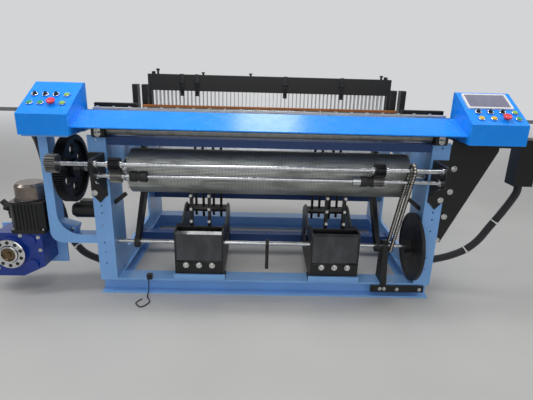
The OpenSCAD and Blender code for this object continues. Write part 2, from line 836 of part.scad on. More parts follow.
// Bracket of the chain's lower shaft on the front rail
module disc_bracket() {
    foot_t = 14;
    foot_z = 42;
    foot_h = 38;
    foot_x = pedestal_x - 52;
    hub_r = 34;
    color("black") {
        box([foot_x, -foot_t, foot_z], [half_w - 35 - foot_x, foot_t, foot_h]);
        difference() {
            yz_plate(pedestal_x, pedestal_w) {
                polygon([
                    [-foot_t, foot_z], [0, foot_z], [0, rail_h], [rail_b - 4, rail_h],
                    [rocker_y + hub_r, rocker_z], [rocker_y - hub_r, rocker_z], [-foot_t, rail_h + 20]
                ]);
                translate([rocker_y, rocker_z]) circle(hub_r);
            }
            x_rod(pedestal_x - 1, pedestal_x + pedestal_w + 1, rocker_y, rocker_z, rocker_r + fit);
        }
    }
}

// Roller chain: its pins round both sprockets, then plates and rollers on them
upper = [feed_y, feed_z];
lower = [rocker_y, rocker_z];
along = polar(chain_p, chain_a);
wrap = 180 * 2 / sprocket_n;
chain_pins = concat(
    [for (k = [0:strand_links]) upper + polar(sprocket_r, chain_a + 90) + k * along],
    [for (j = [1:sprocket_n / 2 - 1]) lower + polar(sprocket_r, chain_a + 90 - j * wrap)],
    [for (k = [0:strand_links]) lower + polar(sprocket_r, chain_a - 90) - k * along],
    [for (j = [1:sprocket_n / 2 - 1]) upper + polar(sprocket_r, chain_a - 90 - j * wrap)]
);

module chain_links(first, r) {
    count = len(chain_pins);
    for (i = [first:2:count - 1]) {
        a = chain_pins[i];
        b = chain_pins[(i + 1) % count];
        translate((a + b) / 2) rotate(atan2(b[1] - a[1], b[0] - a[0])) {
            square([chain_p, 2 * r - 3], center = true);
            for (x = [-chain_p / 2, chain_p / 2]) translate([x, 0]) circle(r);
        }
    }
}

module chain_rounds(r) {
    for (p = chain_pins) translate(p) circle(r);
}

module drive_chain() {
    half_in = chain_in / 2;
    color("dimgray") {
        translate([chain_x, 0, 0]) both_sides() {
            yz_plate(half_in, link_t) chain_links(0, link_r);
            yz_plate(half_in + link_t, link_t) chain_links(1, outer_link_r);
        }
        yz_plate(chain_x - half_in, chain_in) chain_rounds(chain_roller_r);
        yz_plate(chain_x - half_in - 2 * link_t - 1, chain_in + 4 * link_t + 2) chain_rounds(chain_pin_r);
    }
}

// Fingers on the side plates that the heald frames run between
module heald_guides() {
    low = heald_y[0] - 5;
    depth = heald_y[1] + heald_t + 5 - low;
    color("black") both_sides() {
        box([guide_x[0], low, plate_top], [plate_out + 6 - guide_x[0], depth, 10]);
        for (x = guide_x) box([x, low, plate_top + 10], [guide_w, depth, guide_top - plate_top - 10]);
    }
}

// Take-up roll: steel roller, wound mesh and its gear
module take_up_roller() {
    color("gray") {
        x_rod(-mesh_w / 2 - 35, mesh_w / 2 + 35, roll_y, roll_z, roller_r);
        x_rod(gear_x - gear_w / 2 - 8, half_w + 5, roll_y, roll_z, roll_shaft_r);
    }
}

module mesh_roll() {
    turns = 8;
    inner = roller_r + fit;
    step = (mesh_r - inner) / turns;
    end = mesh_w / 2;
    color("darkgray") translate([0, roll_y, roll_z]) rotate([0, 90, 0]) rotate_extrude($fn = 96)
        polygon(concat(
            [for (i = [0:turns - 1], k = [0, 1]) [inner + (i + k) * step, end - 4 * (i % 2)]],
            [for (i = [turns - 1:-1:0], k = [1, 0]) [inner + (i + k) * step, 4 * (i % 2) - end]]
        ));
}

module take_up_gear() {
    color("silver") difference() {
        gear(gear_x, gear_w, roll_y, roll_z, gear_m, gear_n, mesh_turn, roll_shaft_r + fit);
        for (face = [gear_x - gear_w / 2 - 1, gear_x + 9]) yz_plate(face, gear_w / 2 - 8)
            translate([roll_y, roll_z]) difference() {
                circle(gear_m * gear_n / 2 - 22);
                circle(48);
            }
        for (k = [0:5]) translate([0, roll_y, roll_z]) rotate([60 * k, 0, 0])
            x_rod(gear_x - gear_w, gear_x + gear_w, 0, 96, 26);
    }
}

// Feed and press shafts, coupled by two pairs of equal gears
module shaft_collars(y, z, r) {
    ends = plate_out - collar_w - slip;
    color("silver") for (x = concat([-ends - collar_w, ends],
            [for (p = pair_x, side = [-pair_w / 2 - collar_w - 1, pair_w / 2 + 1]) p + side]))
        x_rod(x, x + collar_w, y, z, r);
}

module feed_shaft() {
    color("silver") {
        x_rod(gear_x - gear_w / 2 - 6, plate_out + arm_t + 6, feed_y, feed_z, feed_shaft_r);
        shaft_collars(feed_y, feed_z, collar_r);
    }
}

module feed_wheels() {
    color("silver") {
        gear(gear_x, gear_w, feed_y, feed_z, gear_m, pinion_n, mesh_turn + 180 + 180 / pinion_n,
            feed_shaft_r + fit);
        sprocket(feed_y, feed_z, feed_shaft_r + fit);
    }
}

module feed_gears() {
    color("black") for (x = pair_x)
        gear(x, pair_w, feed_y, feed_z, pair_m, pair_n, pair_turn, feed_shaft_r + fit);
}

module press_shaft() {
    color("silver") {
        x_rod(-plate_out - arm_t - 6, plate_out + arm_t + 6, press_y, press_z, press_shaft_r);
        shaft_collars(press_y, press_z, collar_r - 1);
        for (x = [pair_x[0] + 50, pair_x[1] - 120]) x_rod(x, x + 70, press_y, press_z, collar_r + 3);
    }
}

module press_gears() {
    color("gray") for (x = pair_x)
        gear(x, pair_w, press_y, press_z, pair_m, pair_n, pair_turn + 180 + 180 / pair_n, press_shaft_r + fit);
}

// Lower shaft of the chain, in line with the rocker shaft
module input_shaft() {
    color("silver") {
        x_rod(pedestal_x + (pedestal_w + shaft_gap) / 2, plate_out, rocker_y, rocker_z, rocker_r);
        sprocket(rocker_y, rocker_z, rocker_r - 1);
    }
}

module brake_disc() {
    color("black") translate([disc_x, rocker_y, rocker_z]) rotate([0, 90, 0]) difference() {
        union() {
            cylinder(h = disc_t, r = disc_r, $fn = 128);
            translate([0, 0, -40]) cylinder(h = 42, r = 36);
        }
        translate([0, 0, -41]) cylinder(h = disc_t + 42, r = rocker_r + fit);
        translate([0, 0, -1]) difference() {
            cylinder(h = 4, r = disc_r - 16);
            cylinder(h = 4, r = 60);
        }
    }
}

// Sley: rocker shaft, swords with the drive lever, beam with rapier guides, reed
module rocker_shaft() {
    color("silver") x_rod(-plate_out, pedestal_x + (pedestal_w - shaft_gap) / 2, rocker_y, rocker_z, rocker_r);
}

module sword_outline() {
    translate([rocker_y, rocker_z]) circle(34);
    polygon([
        [rocker_y - 4, rocker_z + 33], sword_knee, [sword_knee[0] + 22, roll_z],
        [reed_y - sley_d / 2, sley_z], [reed_y + sley_d / 2 - 8, sley_z],
        [sword_knee[0] + 82, roll_z - 20], [sword_knee[0] + 62, sword_knee[1] - 30],
        [rocker_y + 33, rocker_z - 8]
    ]);
}

module lever_outline() {
    lever_r = 24;
    translate([rocker_y, rocker_z]) circle(lever_r);
    translate([rocker_y - 13, rocker_z - 140]) square([26, 140]);
    translate([rocker_y, rocker_z - 140]) circle(13);
}

module sley_swords() {
    color("black") difference() {
        union() {
            for (x = sword_x) yz_plate(x - sword_t / 2, sword_t) sword_outline();
            yz_plate(-9, 18) lever_outline();
        }
        x_rod(-half_w, half_w, rocker_y, rocker_z, rocker_r + fit);
    }
}

module sley_beam() {
    top = sley_z + sley_h;
    color("black") {
        box([-sley_half, reed_y - sley_d / 2, sley_z], [2 * sley_half, sley_d, sley_h]);
        both_sides() difference() {
            box([rapier_guide_x, rapier_y - 16, top - 10],
                [sley_half - rapier_guide_x, 32, rapier_guide_h + 10]);
            box([rapier_guide_x - 1, rapier_y - rapier_w / 2 - slip, rapier_z - rapier_h / 2 - slip],
                [sley_half - rapier_guide_x + 2, rapier_w + 2 * slip, rapier_h + 2 * slip]);
        }
    }
}

module reed() {
    foot = sley_z + sley_h;
    bar = 14;
    pitch = (2 * reed_half - 2 * bar) / dent_n;
    color("peru") {
        xz_plate(reed_y - reed_t / 2, reed_t) difference() {
            translate([-reed_half, foot]) square([2 * reed_half, reed_top - cap_h / 2 - foot]);
            for (i = [0:dent_n - 1]) translate([bar - reed_half + (i + 0.2) * pitch, foot + bar])
                square([0.6 * pitch, reed_top - cap_h - foot - bar - 4]);
        }
        box([-reed_half, reed_y - cap_d / 2, reed_top - cap_h], [2 * reed_half, cap_d, cap_h]);
    }
}

module rapier() {
    low = [rapier_tip, rapier_y - rapier_w / 2, rapier_z - rapier_h / 2];
    color("dimgray") {
        box(low + [50, 0, 0], [rapier_l - 50, rapier_w, rapier_h]);
        xz_plate(rapier_y - rapier_w / 2, rapier_w) polygon([
            [rapier_tip, rapier_z - 3], [rapier_tip + 52, rapier_z - rapier_h / 2],
            [rapier_tip + 52, rapier_z + rapier_h / 2], [rapier_tip + 26, rapier_z + 6],
            [rapier_tip + 12, rapier_z + 8], [rapier_tip, rapier_z + 3]
        ]);
    }
}

module right_rapier() { rapier(); }
module left_rapier() { mirror([1, 0, 0]) rapier(); }

// Heald frame with its heald bars and the lift rods under it
module heald_frame(i) {
    stay_z = heald_bottom + heald_foot;
    clear_h = heald_top - heald_rail - stay_z;
    inside = 2 * (heald_half - heald_stay);
    pitch = inside / heald_n;
    color("black") {
        xz_plate(heald_y[i], heald_t) difference() {
            translate([-heald_half, heald_bottom]) square([2 * heald_half, heald_top - heald_bottom]);
            for (k = [0:heald_n - 1]) translate([heald_stay - heald_half + k * pitch, stay_z])
                square([k < heald_n - 1 ? pitch - 3 : pitch, clear_h]);
        }
        for (side = [-1, 1], dx = lift_rod_x[i])
            translate([side * (lift_x + dx), heald_y[i] + heald_t / 2, lift_rod_z])
                cylinder(h = heald_bottom - lift_rod_z + 2, r = lift_r);
        for (side = [-1, 1]) translate([side * (heald_half - 30), heald_y[i] + heald_t / 2, heald_top])
            cylinder(h = 14, r = 7);
    }
}

module front_heald_frame() { heald_frame(0); }
module rear_heald_frame() { heald_frame(1); }

// Warp beam and back rest at the rear
module warp_beam() {
    flange_x = plate_x - 90;
    color("gray") {
        x_rod(-plate_out - 15, plate_out + 15, warp_y, warp_z, warp_shaft_r);
        x_rod(-flange_x, flange_x, warp_y, warp_z, warp_pack_r);
        for (x = [-flange_x - 12, flange_x]) x_rod(x, x + 12, warp_y, warp_z, warp_flange_r);
    }
}

module back_rest() {
    color("silver") {
        x_rod(20 - plate_x, plate_x - 20, back_rest_y, back_rest_z, back_rest_r);
        x_rod(-plate_out, plate_out, back_rest_y, back_rest_z, back_rest_stub_r);
    }
}

place() base_rails();
place() left_side_frame();
place() right_side_frame();
place() cross_ties();
place() breast_cover();
place() fell_bar();
place() bearing_blocks();
place() roll_brackets();
place() console_gusset();
place() left_outrigger();
place() left_console();
place() right_console();
place() touch_screen();
place() gear_reducer();
place() servo_motor();
place() tension_motor();
place() left_conduit();
place() right_conduit();
place() lift_units();
place() lift_panels();
place() disc_bracket();
place() drive_chain();
place() heald_guides();
place() breast_roller();
place() take_up_roller();
place() mesh_roll();
place() take_up_gear();
place() feed_shaft();
place() feed_wheels();
place() feed_gears();
place() press_shaft();
place() press_gears();
place() input_shaft();
place() brake_disc();
place() rocker_shaft();
place() sley_swords();
place() sley_beam();
place() reed();
place() left_rapier();
place() right_rapier();
place() front_heald_frame();
place() rear_heald_frame();
place() warp_beam();
place() back_rest();
place() left_selector_a();
place() left_selector_b();
place() left_selector_c();
place() left_stop_button();
place() left_button_a();
place() left_button_b();
place() left_button_c();
place() left_button_d();
place() right_selector_a();
place() right_selector_b();
place() right_selector_c();
place() right_stop_button();
place() right_button_a();
place() right_button_b();
place() right_button_c();
place() right_button_d();
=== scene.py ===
"""Finishes, fittings, conduits and stage of a wire mesh loom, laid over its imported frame."""

import json
import math
import random

import bmesh
import bpy
from bpy.props import FloatProperty, FloatVectorProperty, IntProperty, PointerProperty
from bpy.types import Operator, Panel, PropertyGroup
from mathutils import Matrix, Vector


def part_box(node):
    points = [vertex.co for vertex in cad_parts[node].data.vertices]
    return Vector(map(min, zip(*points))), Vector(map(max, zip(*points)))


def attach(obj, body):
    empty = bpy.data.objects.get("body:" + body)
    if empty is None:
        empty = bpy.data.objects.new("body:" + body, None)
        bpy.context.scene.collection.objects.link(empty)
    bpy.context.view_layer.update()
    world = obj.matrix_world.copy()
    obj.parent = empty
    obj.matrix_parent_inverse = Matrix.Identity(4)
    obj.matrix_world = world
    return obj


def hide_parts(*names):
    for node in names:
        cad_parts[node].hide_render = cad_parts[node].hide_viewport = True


bl_info = {
    "name": "Wire mesh loom",
    "version": (1, 0, 0),
    "blender": (4, 5, 0),
    "location": "View3D > Sidebar > Loom",
    "description": "Finishes and fittings of a wire mesh loom",
    "category": "Object",
}

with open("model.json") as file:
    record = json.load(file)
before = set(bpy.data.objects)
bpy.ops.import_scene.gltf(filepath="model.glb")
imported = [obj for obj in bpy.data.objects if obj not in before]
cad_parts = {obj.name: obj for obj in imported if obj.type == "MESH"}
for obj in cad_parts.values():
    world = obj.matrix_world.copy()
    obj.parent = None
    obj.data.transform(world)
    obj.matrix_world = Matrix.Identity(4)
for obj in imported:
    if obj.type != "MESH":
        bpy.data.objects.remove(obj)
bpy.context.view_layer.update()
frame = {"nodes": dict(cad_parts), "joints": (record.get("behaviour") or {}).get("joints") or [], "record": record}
NODES = frame["nodes"]
SLOT_OF = {part["node"]: part["material_slot"] for part in frame["record"]["subparts"]}
JOINT_AT = {joint["name"]: Vector(joint["pos_m"]) for joint in frame["joints"] if "pos_m" in joint}

MM = 0.001
FRONT_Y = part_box("base_rails")[0].y
OUTWARD = Vector((0, -1, 0))
UPWARD = Vector((0, 0, 1))
ALONG = Vector((1, 0, 0))
ROLL_AXIS = JOINT_AT["roll_spin"]
ROLL_R = (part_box("mesh_roll")[1].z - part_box("mesh_roll")[0].z) / 2


def at(x, y, z):
    """Point in the frame from the machine's own millimetres: y runs back from the post fronts."""
    return Vector((x * MM, FRONT_Y + y * MM, z * MM))


def linear(code):
    """Linear colour of an sRGB hex code."""
    parts = [int(code[i : i + 2], 16) / 255 for i in (1, 3, 5)]
    return [c / 12.92 if c <= 0.04045 else ((c + 0.055) / 1.055) ** 2.4 for c in parts]


def shade(name, about, code):
    """Colour property whose default is an sRGB hex code."""
    return FloatVectorProperty(
        name=name, description=about, subtype="COLOR", size=3, min=0, max=1, default=linear(code)
    )


def length(name, about, metres):
    """Length property in metres."""
    return FloatProperty(
        name=name, description=about, default=metres, min=0.0001, unit="LENGTH", precision=4
    )


class LoomColours(PropertyGroup):
    """Colours of the loom's finishes."""

    frame: shade("Frame", "Powder coat of the side frames and rails", "#7bafea")
    # The ties' dark navy is painted shade: they carry the frame's light blue coat and sit in shade.
    tie: shade("Ties", "Powder coat of the cross ties", "#1d4078")
    cover: shade("Cover", "Gloss enamel of the breast cover and consoles", "#008efa")
    casting: shade("Reducer", "Enamel of the cast worm reducer", "#02308c")
    black: shade("Black paint", "Satin enamel of brackets, sley and healds", "#0d0e10")
    screen: shade("Screen", "Lit display behind the touch screen's glass", "#77778a")
    floor: shade("Floor", "Plain pale floor", "#bdbcba")
    wall: shade("Wall", "Pale backdrop behind the loom", "#d3d4d6")


class LoomSizes(PropertyGroup):
    """Sizes of the loom's fittings."""

    bolt: length("Bolt", "Across the corners of a large bolt head", 0.021)
    screw: length("Screw", "Across the corners of a small bolt head", 0.014)
    conduit: length("Conduit", "Diameter of the braided conduits", 0.040)
    tie: length("Cable tie", "Width of a cable tie", 0.006)
    lead: length("Lead", "Diameter of the thin lead on the front rail", 0.006)
    bezel: length("Bezel", "Width of the bright ring round a control", 0.0022)
    wire: length("Wire", "Diameter of a wire end on the mesh roll", 0.0012)
    fringe: IntProperty(
        name="Wire ends", description="Loose wire ends at each edge of the roll", default=260, min=0
    )


def add_node(tree, kind, inputs=None, **settings):
    """Adds a node; each input is a value, or the output socket that feeds it."""
    node = tree.nodes.new(kind)
    for key, value in settings.items():
        setattr(node, key, value)
    for key, value in (inputs or {}).items():
        if isinstance(value, bpy.types.NodeSocket):
            tree.links.new(value, node.inputs[key])
        else:
            node.inputs[key].default_value = value
    return node


def maths(tree, operation, first, second=0.0):
    """Outcome of an operation on one or two number sockets or values."""
    return add_node(tree, "ShaderNodeMath", {0: first, 1: second}, operation=operation).outputs[0]


def rgba(colour, gain=1.0):
    """Four-part colour of a hex code or a linear colour, made lighter or darker by a gain."""
    parts = linear(colour) if isinstance(colour, str) else colour[:3]
    return [min(1.0, c * gain) for c in parts] + [1.0]


def start(name):
    """Empty material with its shader and the piece's own coordinates."""
    material = bpy.data.materials.new(name)
    material.use_nodes = True
    tree = material.node_tree
    tree.nodes.clear()
    shader = add_node(tree, "ShaderNodeBsdfPrincipled")
    add_node(tree, "ShaderNodeOutputMaterial", {"Surface": shader.outputs[0]})
    spot = add_node(tree, "ShaderNodeTexCoord").outputs["Object"]
    return material, tree, shader, spot


def feed(tree, shader, **sockets):
    """Sets or links the shader's sockets, named with _ for a space."""
    for key, value in sockets.items():
        socket = shader.inputs[key.replace("_", " ")]
        if isinstance(value, bpy.types.NodeSocket):
            tree.links.new(value, socket)
        else:
            socket.default_value = value


def grain(tree, spot, size, stretch=(1, 1, 1), detail=3.0):
    """Noise whose marks are about the given size in metres, stretched along an axis."""
    placed = add_node(tree, "ShaderNodeMapping", {"Vector": spot, "Scale": stretch})
    noise = add_node(
        tree, "ShaderNodeTexNoise", {"Vector": placed.outputs[0], "Scale": 1 / size, "Detail": detail}
    )
    return noise.outputs["Fac"]


def between(tree, value, low, high, to_low=0.0, to_high=1.0):
    """Value mapped from one range to another, held at its ends."""
    ends = {"Value": value, "From Min": low, "From Max": high, "To Min": to_low, "To Max": to_high}
    return add_node(tree, "ShaderNodeMapRange", ends).outputs[0]


def blended(tree, factor, first, second):
    """Colour between two others."""
    ends = {0: factor, 6: first, 7: second}
    return add_node(tree, "ShaderNodeMix", ends, data_type="RGBA").outputs[2]


def toned(tree, factor, colour, low, high):
    """Colour that wanders between a darker and a lighter tone of itself."""
    return blended(tree, factor, rgba(colour, low), rgba(colour, high))


def relief(tree, height, depth, strength=1.0, under=None):
    """Normal of a surface whose height field is that many metres deep."""
    ends = {"Height": height, "Distance": depth, "Strength": strength}
    if under:
        ends["Normal"] = under
    return add_node(tree, "ShaderNodeBump", ends).outputs[0]


def edge_wear_and_highlight_mask(tree, spot, radius):
    """Mask that is 1 along edges, broken up as rubbed paint is; it carries rubbed paint and a painted highlight
    along the edges.
    """
    bevel = add_node(tree, "ShaderNodeBevel", {"Radius": radius}, samples=4)
    face = add_node(tree, "ShaderNodeNewGeometry").outputs["Normal"]
    ends = {0: bevel.outputs[0], 1: face}
    near = add_node(tree, "ShaderNodeVectorMath", ends, operation="DOT_PRODUCT")
    mask = between(tree, near.outputs["Value"], 0.98, 0.86)
    worn = between(tree, grain(tree, spot, 0.03), 0.42, 0.62, 0.25, 1.0)
    return maths(tree, "MULTIPLY", mask, worn)


def dust_mask(tree, spot, amount):
    """Mask of dust that settles on faces that look up."""
    normal = add_node(tree, "ShaderNodeNewGeometry").outputs["Normal"]
    up = add_node(tree, "ShaderNodeSeparateXYZ", {0: normal}).outputs["Z"]
    patch = between(tree, grain(tree, spot, 0.09, detail=6), 0.35, 0.7)
    level = between(tree, up, 0.6, 1.0, 0.0, amount)
    return maths(tree, "MULTIPLY", level, patch)


def painted(name, colour, roughness, peel, edge, coat=0.0, dust=0.12):
    """Sprayed enamel or powder coat on steel: orange peel, soft clouding, edges lightened as rubbed paint and as a
    painted highlight, settled dust.
    """
    material, tree, shader, spot = start(name)
    cloud = between(tree, grain(tree, spot, 0.25, detail=4), 0.3, 0.7)
    base = toned(tree, cloud, colour, 0.93, 1.06)
    # Lighter tone along the edges: partly rubbed paint, partly a painted highlight.
    base = blended(tree, edge_wear_and_highlight_mask(tree, spot, 0.003), base, rgba(edge))
    base = blended(tree, dust_mask(tree, spot, dust), base, rgba("#b9b6ae"))
    haze = grain(tree, spot, 0.06, detail=5)
    gloss = between(tree, haze, 0.3, 0.7, roughness - 0.05, roughness + 0.07)
    peel_marks = relief(tree, grain(tree, spot, peel, detail=2), 0.00025, 0.35)
    feed(tree, shader, Base_Color=base, Roughness=gloss, Normal=peel_marks, IOR=1.5)
    feed(tree, shader, Coat_Weight=coat, Coat_Roughness=0.16)
    return material


def metal(name, code, roughness, stretch, line, stain=0.0, dark="#2a2a2c"):
    """Ground, drawn or milled metal: fine lines along the cut, a little oil or tarnish."""
    material, tree, shader, spot = start(name)
    lines = grain(tree, spot, line, stretch, detail=4)
    tone = toned(tree, between(tree, lines, 0.35, 0.65), code, 0.85, 1.1)
    patch = between(tree, grain(tree, spot, 0.05, detail=6), 0.5, 0.68, 0.0, stain)
    tone = blended(tree, patch, tone, rgba(dark))
    gloss = between(tree, lines, 0.3, 0.7, roughness - 0.06, roughness + 0.08)
    feed(tree, shader, Base_Color=tone, Metallic=1.0, Roughness=gloss)
    feed(tree, shader, Normal=relief(tree, lines, 0.0001, 0.25))
    return material


def moulded(name, code, roughness, coat=0.0):
    """Moulded ABS or nylon: fine spark-eroded grain and a slight shift of tone."""
    material, tree, shader, spot = start(name)
    tone = between(tree, grain(tree, spot, 0.012), 0.3, 0.7)
    base = toned(tree, tone, code, 0.92, 1.06)
    gloss = between(tree, grain(tree, spot, 0.004), 0.3, 0.7, roughness - 0.04, roughness + 0.06)
    feed(tree, shader, Base_Color=base, Roughness=gloss, IOR=1.53)
    feed(tree, shader, Normal=relief(tree, grain(tree, spot, 0.0008), 0.0001, 0.3))
    feed(tree, shader, Coat_Weight=coat, Coat_Roughness=0.1)
    return material


def woven_wire():
    """Galvanised wire cloth wound on the roll: crossing wires, crushed patches, streaks along the web.

    The real wires are about 2 mm apart. They are drawn 7 mm apart so that the cloth still shows.
    """
    pitch = 0.007
    material, tree, shader, spot = start("woven_galvanised_wire")
    centred = add_node(tree, "ShaderNodeVectorMath", {0: spot, 1: ROLL_AXIS}, operation="SUBTRACT")
    parts = add_node(tree, "ShaderNodeSeparateXYZ", {0: centred.outputs[0]}).outputs
    turn = maths(tree, "ARCTAN2", parts["Z"], parts["Y"])
    around = maths(tree, "MULTIPLY", turn, ROLL_R)
    wires = []
    for run in (parts["X"], around):
        wave = maths(tree, "SINE", maths(tree, "MULTIPLY", run, math.pi / pitch))
        wires.append(maths(tree, "ABSOLUTE", wave))
    cloth = maths(tree, "MAXIMUM", *wires)
    crushed = grain(tree, spot, 0.05, (0.4, 1, 1), detail=6)
    streak = grain(tree, spot, 0.02, (0.06, 1, 1), detail=5)
    dark, pale = rgba("#454746"), rgba("#b8bbb6")
    base = blended(tree, between(tree, cloth, 0.55, 0.95), dark, pale)
    base = blended(tree, between(tree, crushed, 0.45, 0.7, 0.0, 0.75), base, rgba("#6c6f6d"))
    base = blended(tree, between(tree, streak, 0.58, 0.72, 0.0, 0.6), base, rgba("#d2d4cf"))
    gloss = between(tree, crushed, 0.3, 0.7, 0.32, 0.52)
    dents = relief(tree, crushed, 0.003, 0.5)
    feed(tree, shader, Base_Color=base, Metallic=0.85, Roughness=gloss)
    feed(tree, shader, Normal=relief(tree, cloth, 0.0012, 0.8, dents))
    return material


def braided_sleeve():
    """Braided polyester sleeve: bundles of black yarn that cross in diamonds, with a dull sheen.

    A bundle is about 3 mm wide. It is drawn 6 mm wide so that the braid still shows.
    """
    bundles_round = 20
    material, tree, shader, _ = start("braided_polyester_sleeve")
    sleeve = add_node(tree, "ShaderNodeTexCoord").outputs["UV"]
    parts = add_node(tree, "ShaderNodeSeparateXYZ", {0: sleeve}).outputs
    bundles = []
    for sign in (1, -1):
        slant = maths(tree, "ADD", parts["X"], maths(tree, "MULTIPLY", parts["Y"], sign))
        bundles.append(maths(tree, "SINE", maths(tree, "MULTIPLY", slant, bundles_round * math.pi)))
    cross = maths(tree, "MAXIMUM", *bundles)
    dark, pale = rgba("#0b0b0d"), rgba("#2b2b2f")
    base = blended(tree, between(tree, cross, -0.2, 0.9), dark, pale)
    feed(tree, shader, Base_Color=base, Roughness=0.62, Sheen_Weight=0.25, Sheen_Roughness=0.4)
    feed(tree, shader, Normal=relief(tree, cross, 0.0012, 0.7))
    return material


def smoked_acrylic():
    """Cast smoked acrylic sheet: near black, glossy, with hairline scratches and finger marks."""
    material, tree, shader, spot = start("smoked_acrylic")
    marks = grain(tree, spot, 0.06, (1, 1, 0.5), detail=6)
    dark, pale = rgba("#202328"), rgba("#3a3f46")
    base = blended(tree, between(tree, marks, 0.4, 0.7), dark, pale)
    gloss = between(tree, marks, 0.35, 0.7, 0.06, 0.22)
    feed(tree, shader, Base_Color=base, Roughness=gloss, IOR=1.49, Coat_Weight=0.5, Coat_Roughness=0.04)
    return material


def split_finish(name, axis, middle, low, high, width=0.001):
    """Two finishes in one piece, parted at a place along one axis; each is colour, metallic, roughness."""
    material, tree, shader, spot = start(name)
    side = add_node(tree, "ShaderNodeSeparateXYZ", {0: spot}).outputs[axis]
    part = between(tree, side, middle - width, middle + width)
    tone = between(tree, grain(tree, spot, 0.02, (0.2, 1, 1), detail=5), 0.3, 0.7)
    lows = toned(tree, tone, low[0], 0.8, 1.1)
    highs = toned(tree, tone, high[0], 0.75, 1.15)
    feed(tree, shader, Base_Color=blended(tree, part, lows, highs))
    feed(tree, shader, Metallic=between(tree, part, 0, 1, low[1], high[1]))
    feed(tree, shader, Roughness=between(tree, part, 0, 1, low[2], high[2]))
    feed(tree, shader, Normal=relief(tree, grain(tree, spot, 0.002), 0.0002, 0.3))
    return material


def oiled_chain(middle):
    """Roller chain: oiled dark plates and bright pin heads at both sides of its middle plane."""
    material, tree, shader, spot = start("oiled_roller_chain")
    across = add_node(tree, "ShaderNodeSeparateXYZ", {0: spot}).outputs["X"]
    off = maths(tree, "ABSOLUTE", maths(tree, "SUBTRACT", across, middle))
    head = between(tree, off, 0.0091, 0.0095)
    roller = between(tree, off, 0.0049, 0.0045)
    bright = maths(tree, "MAXIMUM", head, roller)
    oil = between(tree, grain(tree, spot, 0.02, detail=5), 0.35, 0.65)
    plate = blended(tree, oil, rgba("#2a2826"), rgba("#4d4a46"))
    feed(tree, shader, Base_Color=blended(tree, bright, plate, rgba("#cfcac0")), Metallic=1.0)
    feed(tree, shader, Roughness=between(tree, oil, 0, 1, 0.28, 0.46))
    return material


# Lowest and highest place of the heald wires between their rails, in metres
HEALD_WIRES = (0.790, 1.060)
HEALD_STAY = 0.02


def heald_frame(black):
    """Heald frame: satin black rails and stays round drawn steel wires, which the thread keeps bright."""
    material, tree, shader, spot = start("heald_frame_and_wires")
    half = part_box("front_heald_frame")[1].x
    low, high = HEALD_WIRES
    parts = add_node(tree, "ShaderNodeSeparateXYZ", {0: spot}).outputs
    across = maths(tree, "ABSOLUTE", parts["X"])
    wire = between(tree, across, half - HEALD_STAY + 0.0005, half - HEALD_STAY - 0.0005)
    for start_z, end_z in ((high + 0.0005, high - 0.0005), (low - 0.0005, low + 0.0005)):
        side = between(tree, parts["Z"], start_z, end_z)
        wire = maths(tree, "MULTIPLY", wire, side)
    tone = between(tree, grain(tree, spot, 0.03, detail=5), 0.3, 0.7)
    paint = toned(tree, tone, black, 0.9, 1.2)
    steel = blended(tree, tone, rgba("#b9bbbd"), rgba("#d8dadc"))
    feed(tree, shader, Base_Color=blended(tree, wire, paint, steel))
    feed(tree, shader, Metallic=between(tree, wire, 0, 1, 0, 0.6))
    feed(tree, shader, Roughness=between(tree, tone, 0, 1, 0.36, 0.46))
    feed(tree, shader, Normal=relief(tree, grain(tree, spot, 0.003, detail=2), 0.0002, 0.3))
    return material


def lit_display(colour):
    """Backlit panel under glass: a plain even glow with a little fall-off between its rows."""
    material, tree, shader, spot = start("lit_display")
    glow = between(tree, grain(tree, spot, 0.05, (1, 0.3, 0.3), detail=1), 0.3, 0.7)
    tone = toned(tree, glow, colour, 0.85, 1.1)
    feed(tree, shader, Base_Color=tone, Roughness=0.12, IOR=1.5, Coat_Weight=0.6, Coat_Roughness=0.03)
    feed(tree, shader, Emission_Color=tone, Emission_Strength=0.12)
    return material


FINISH = {}


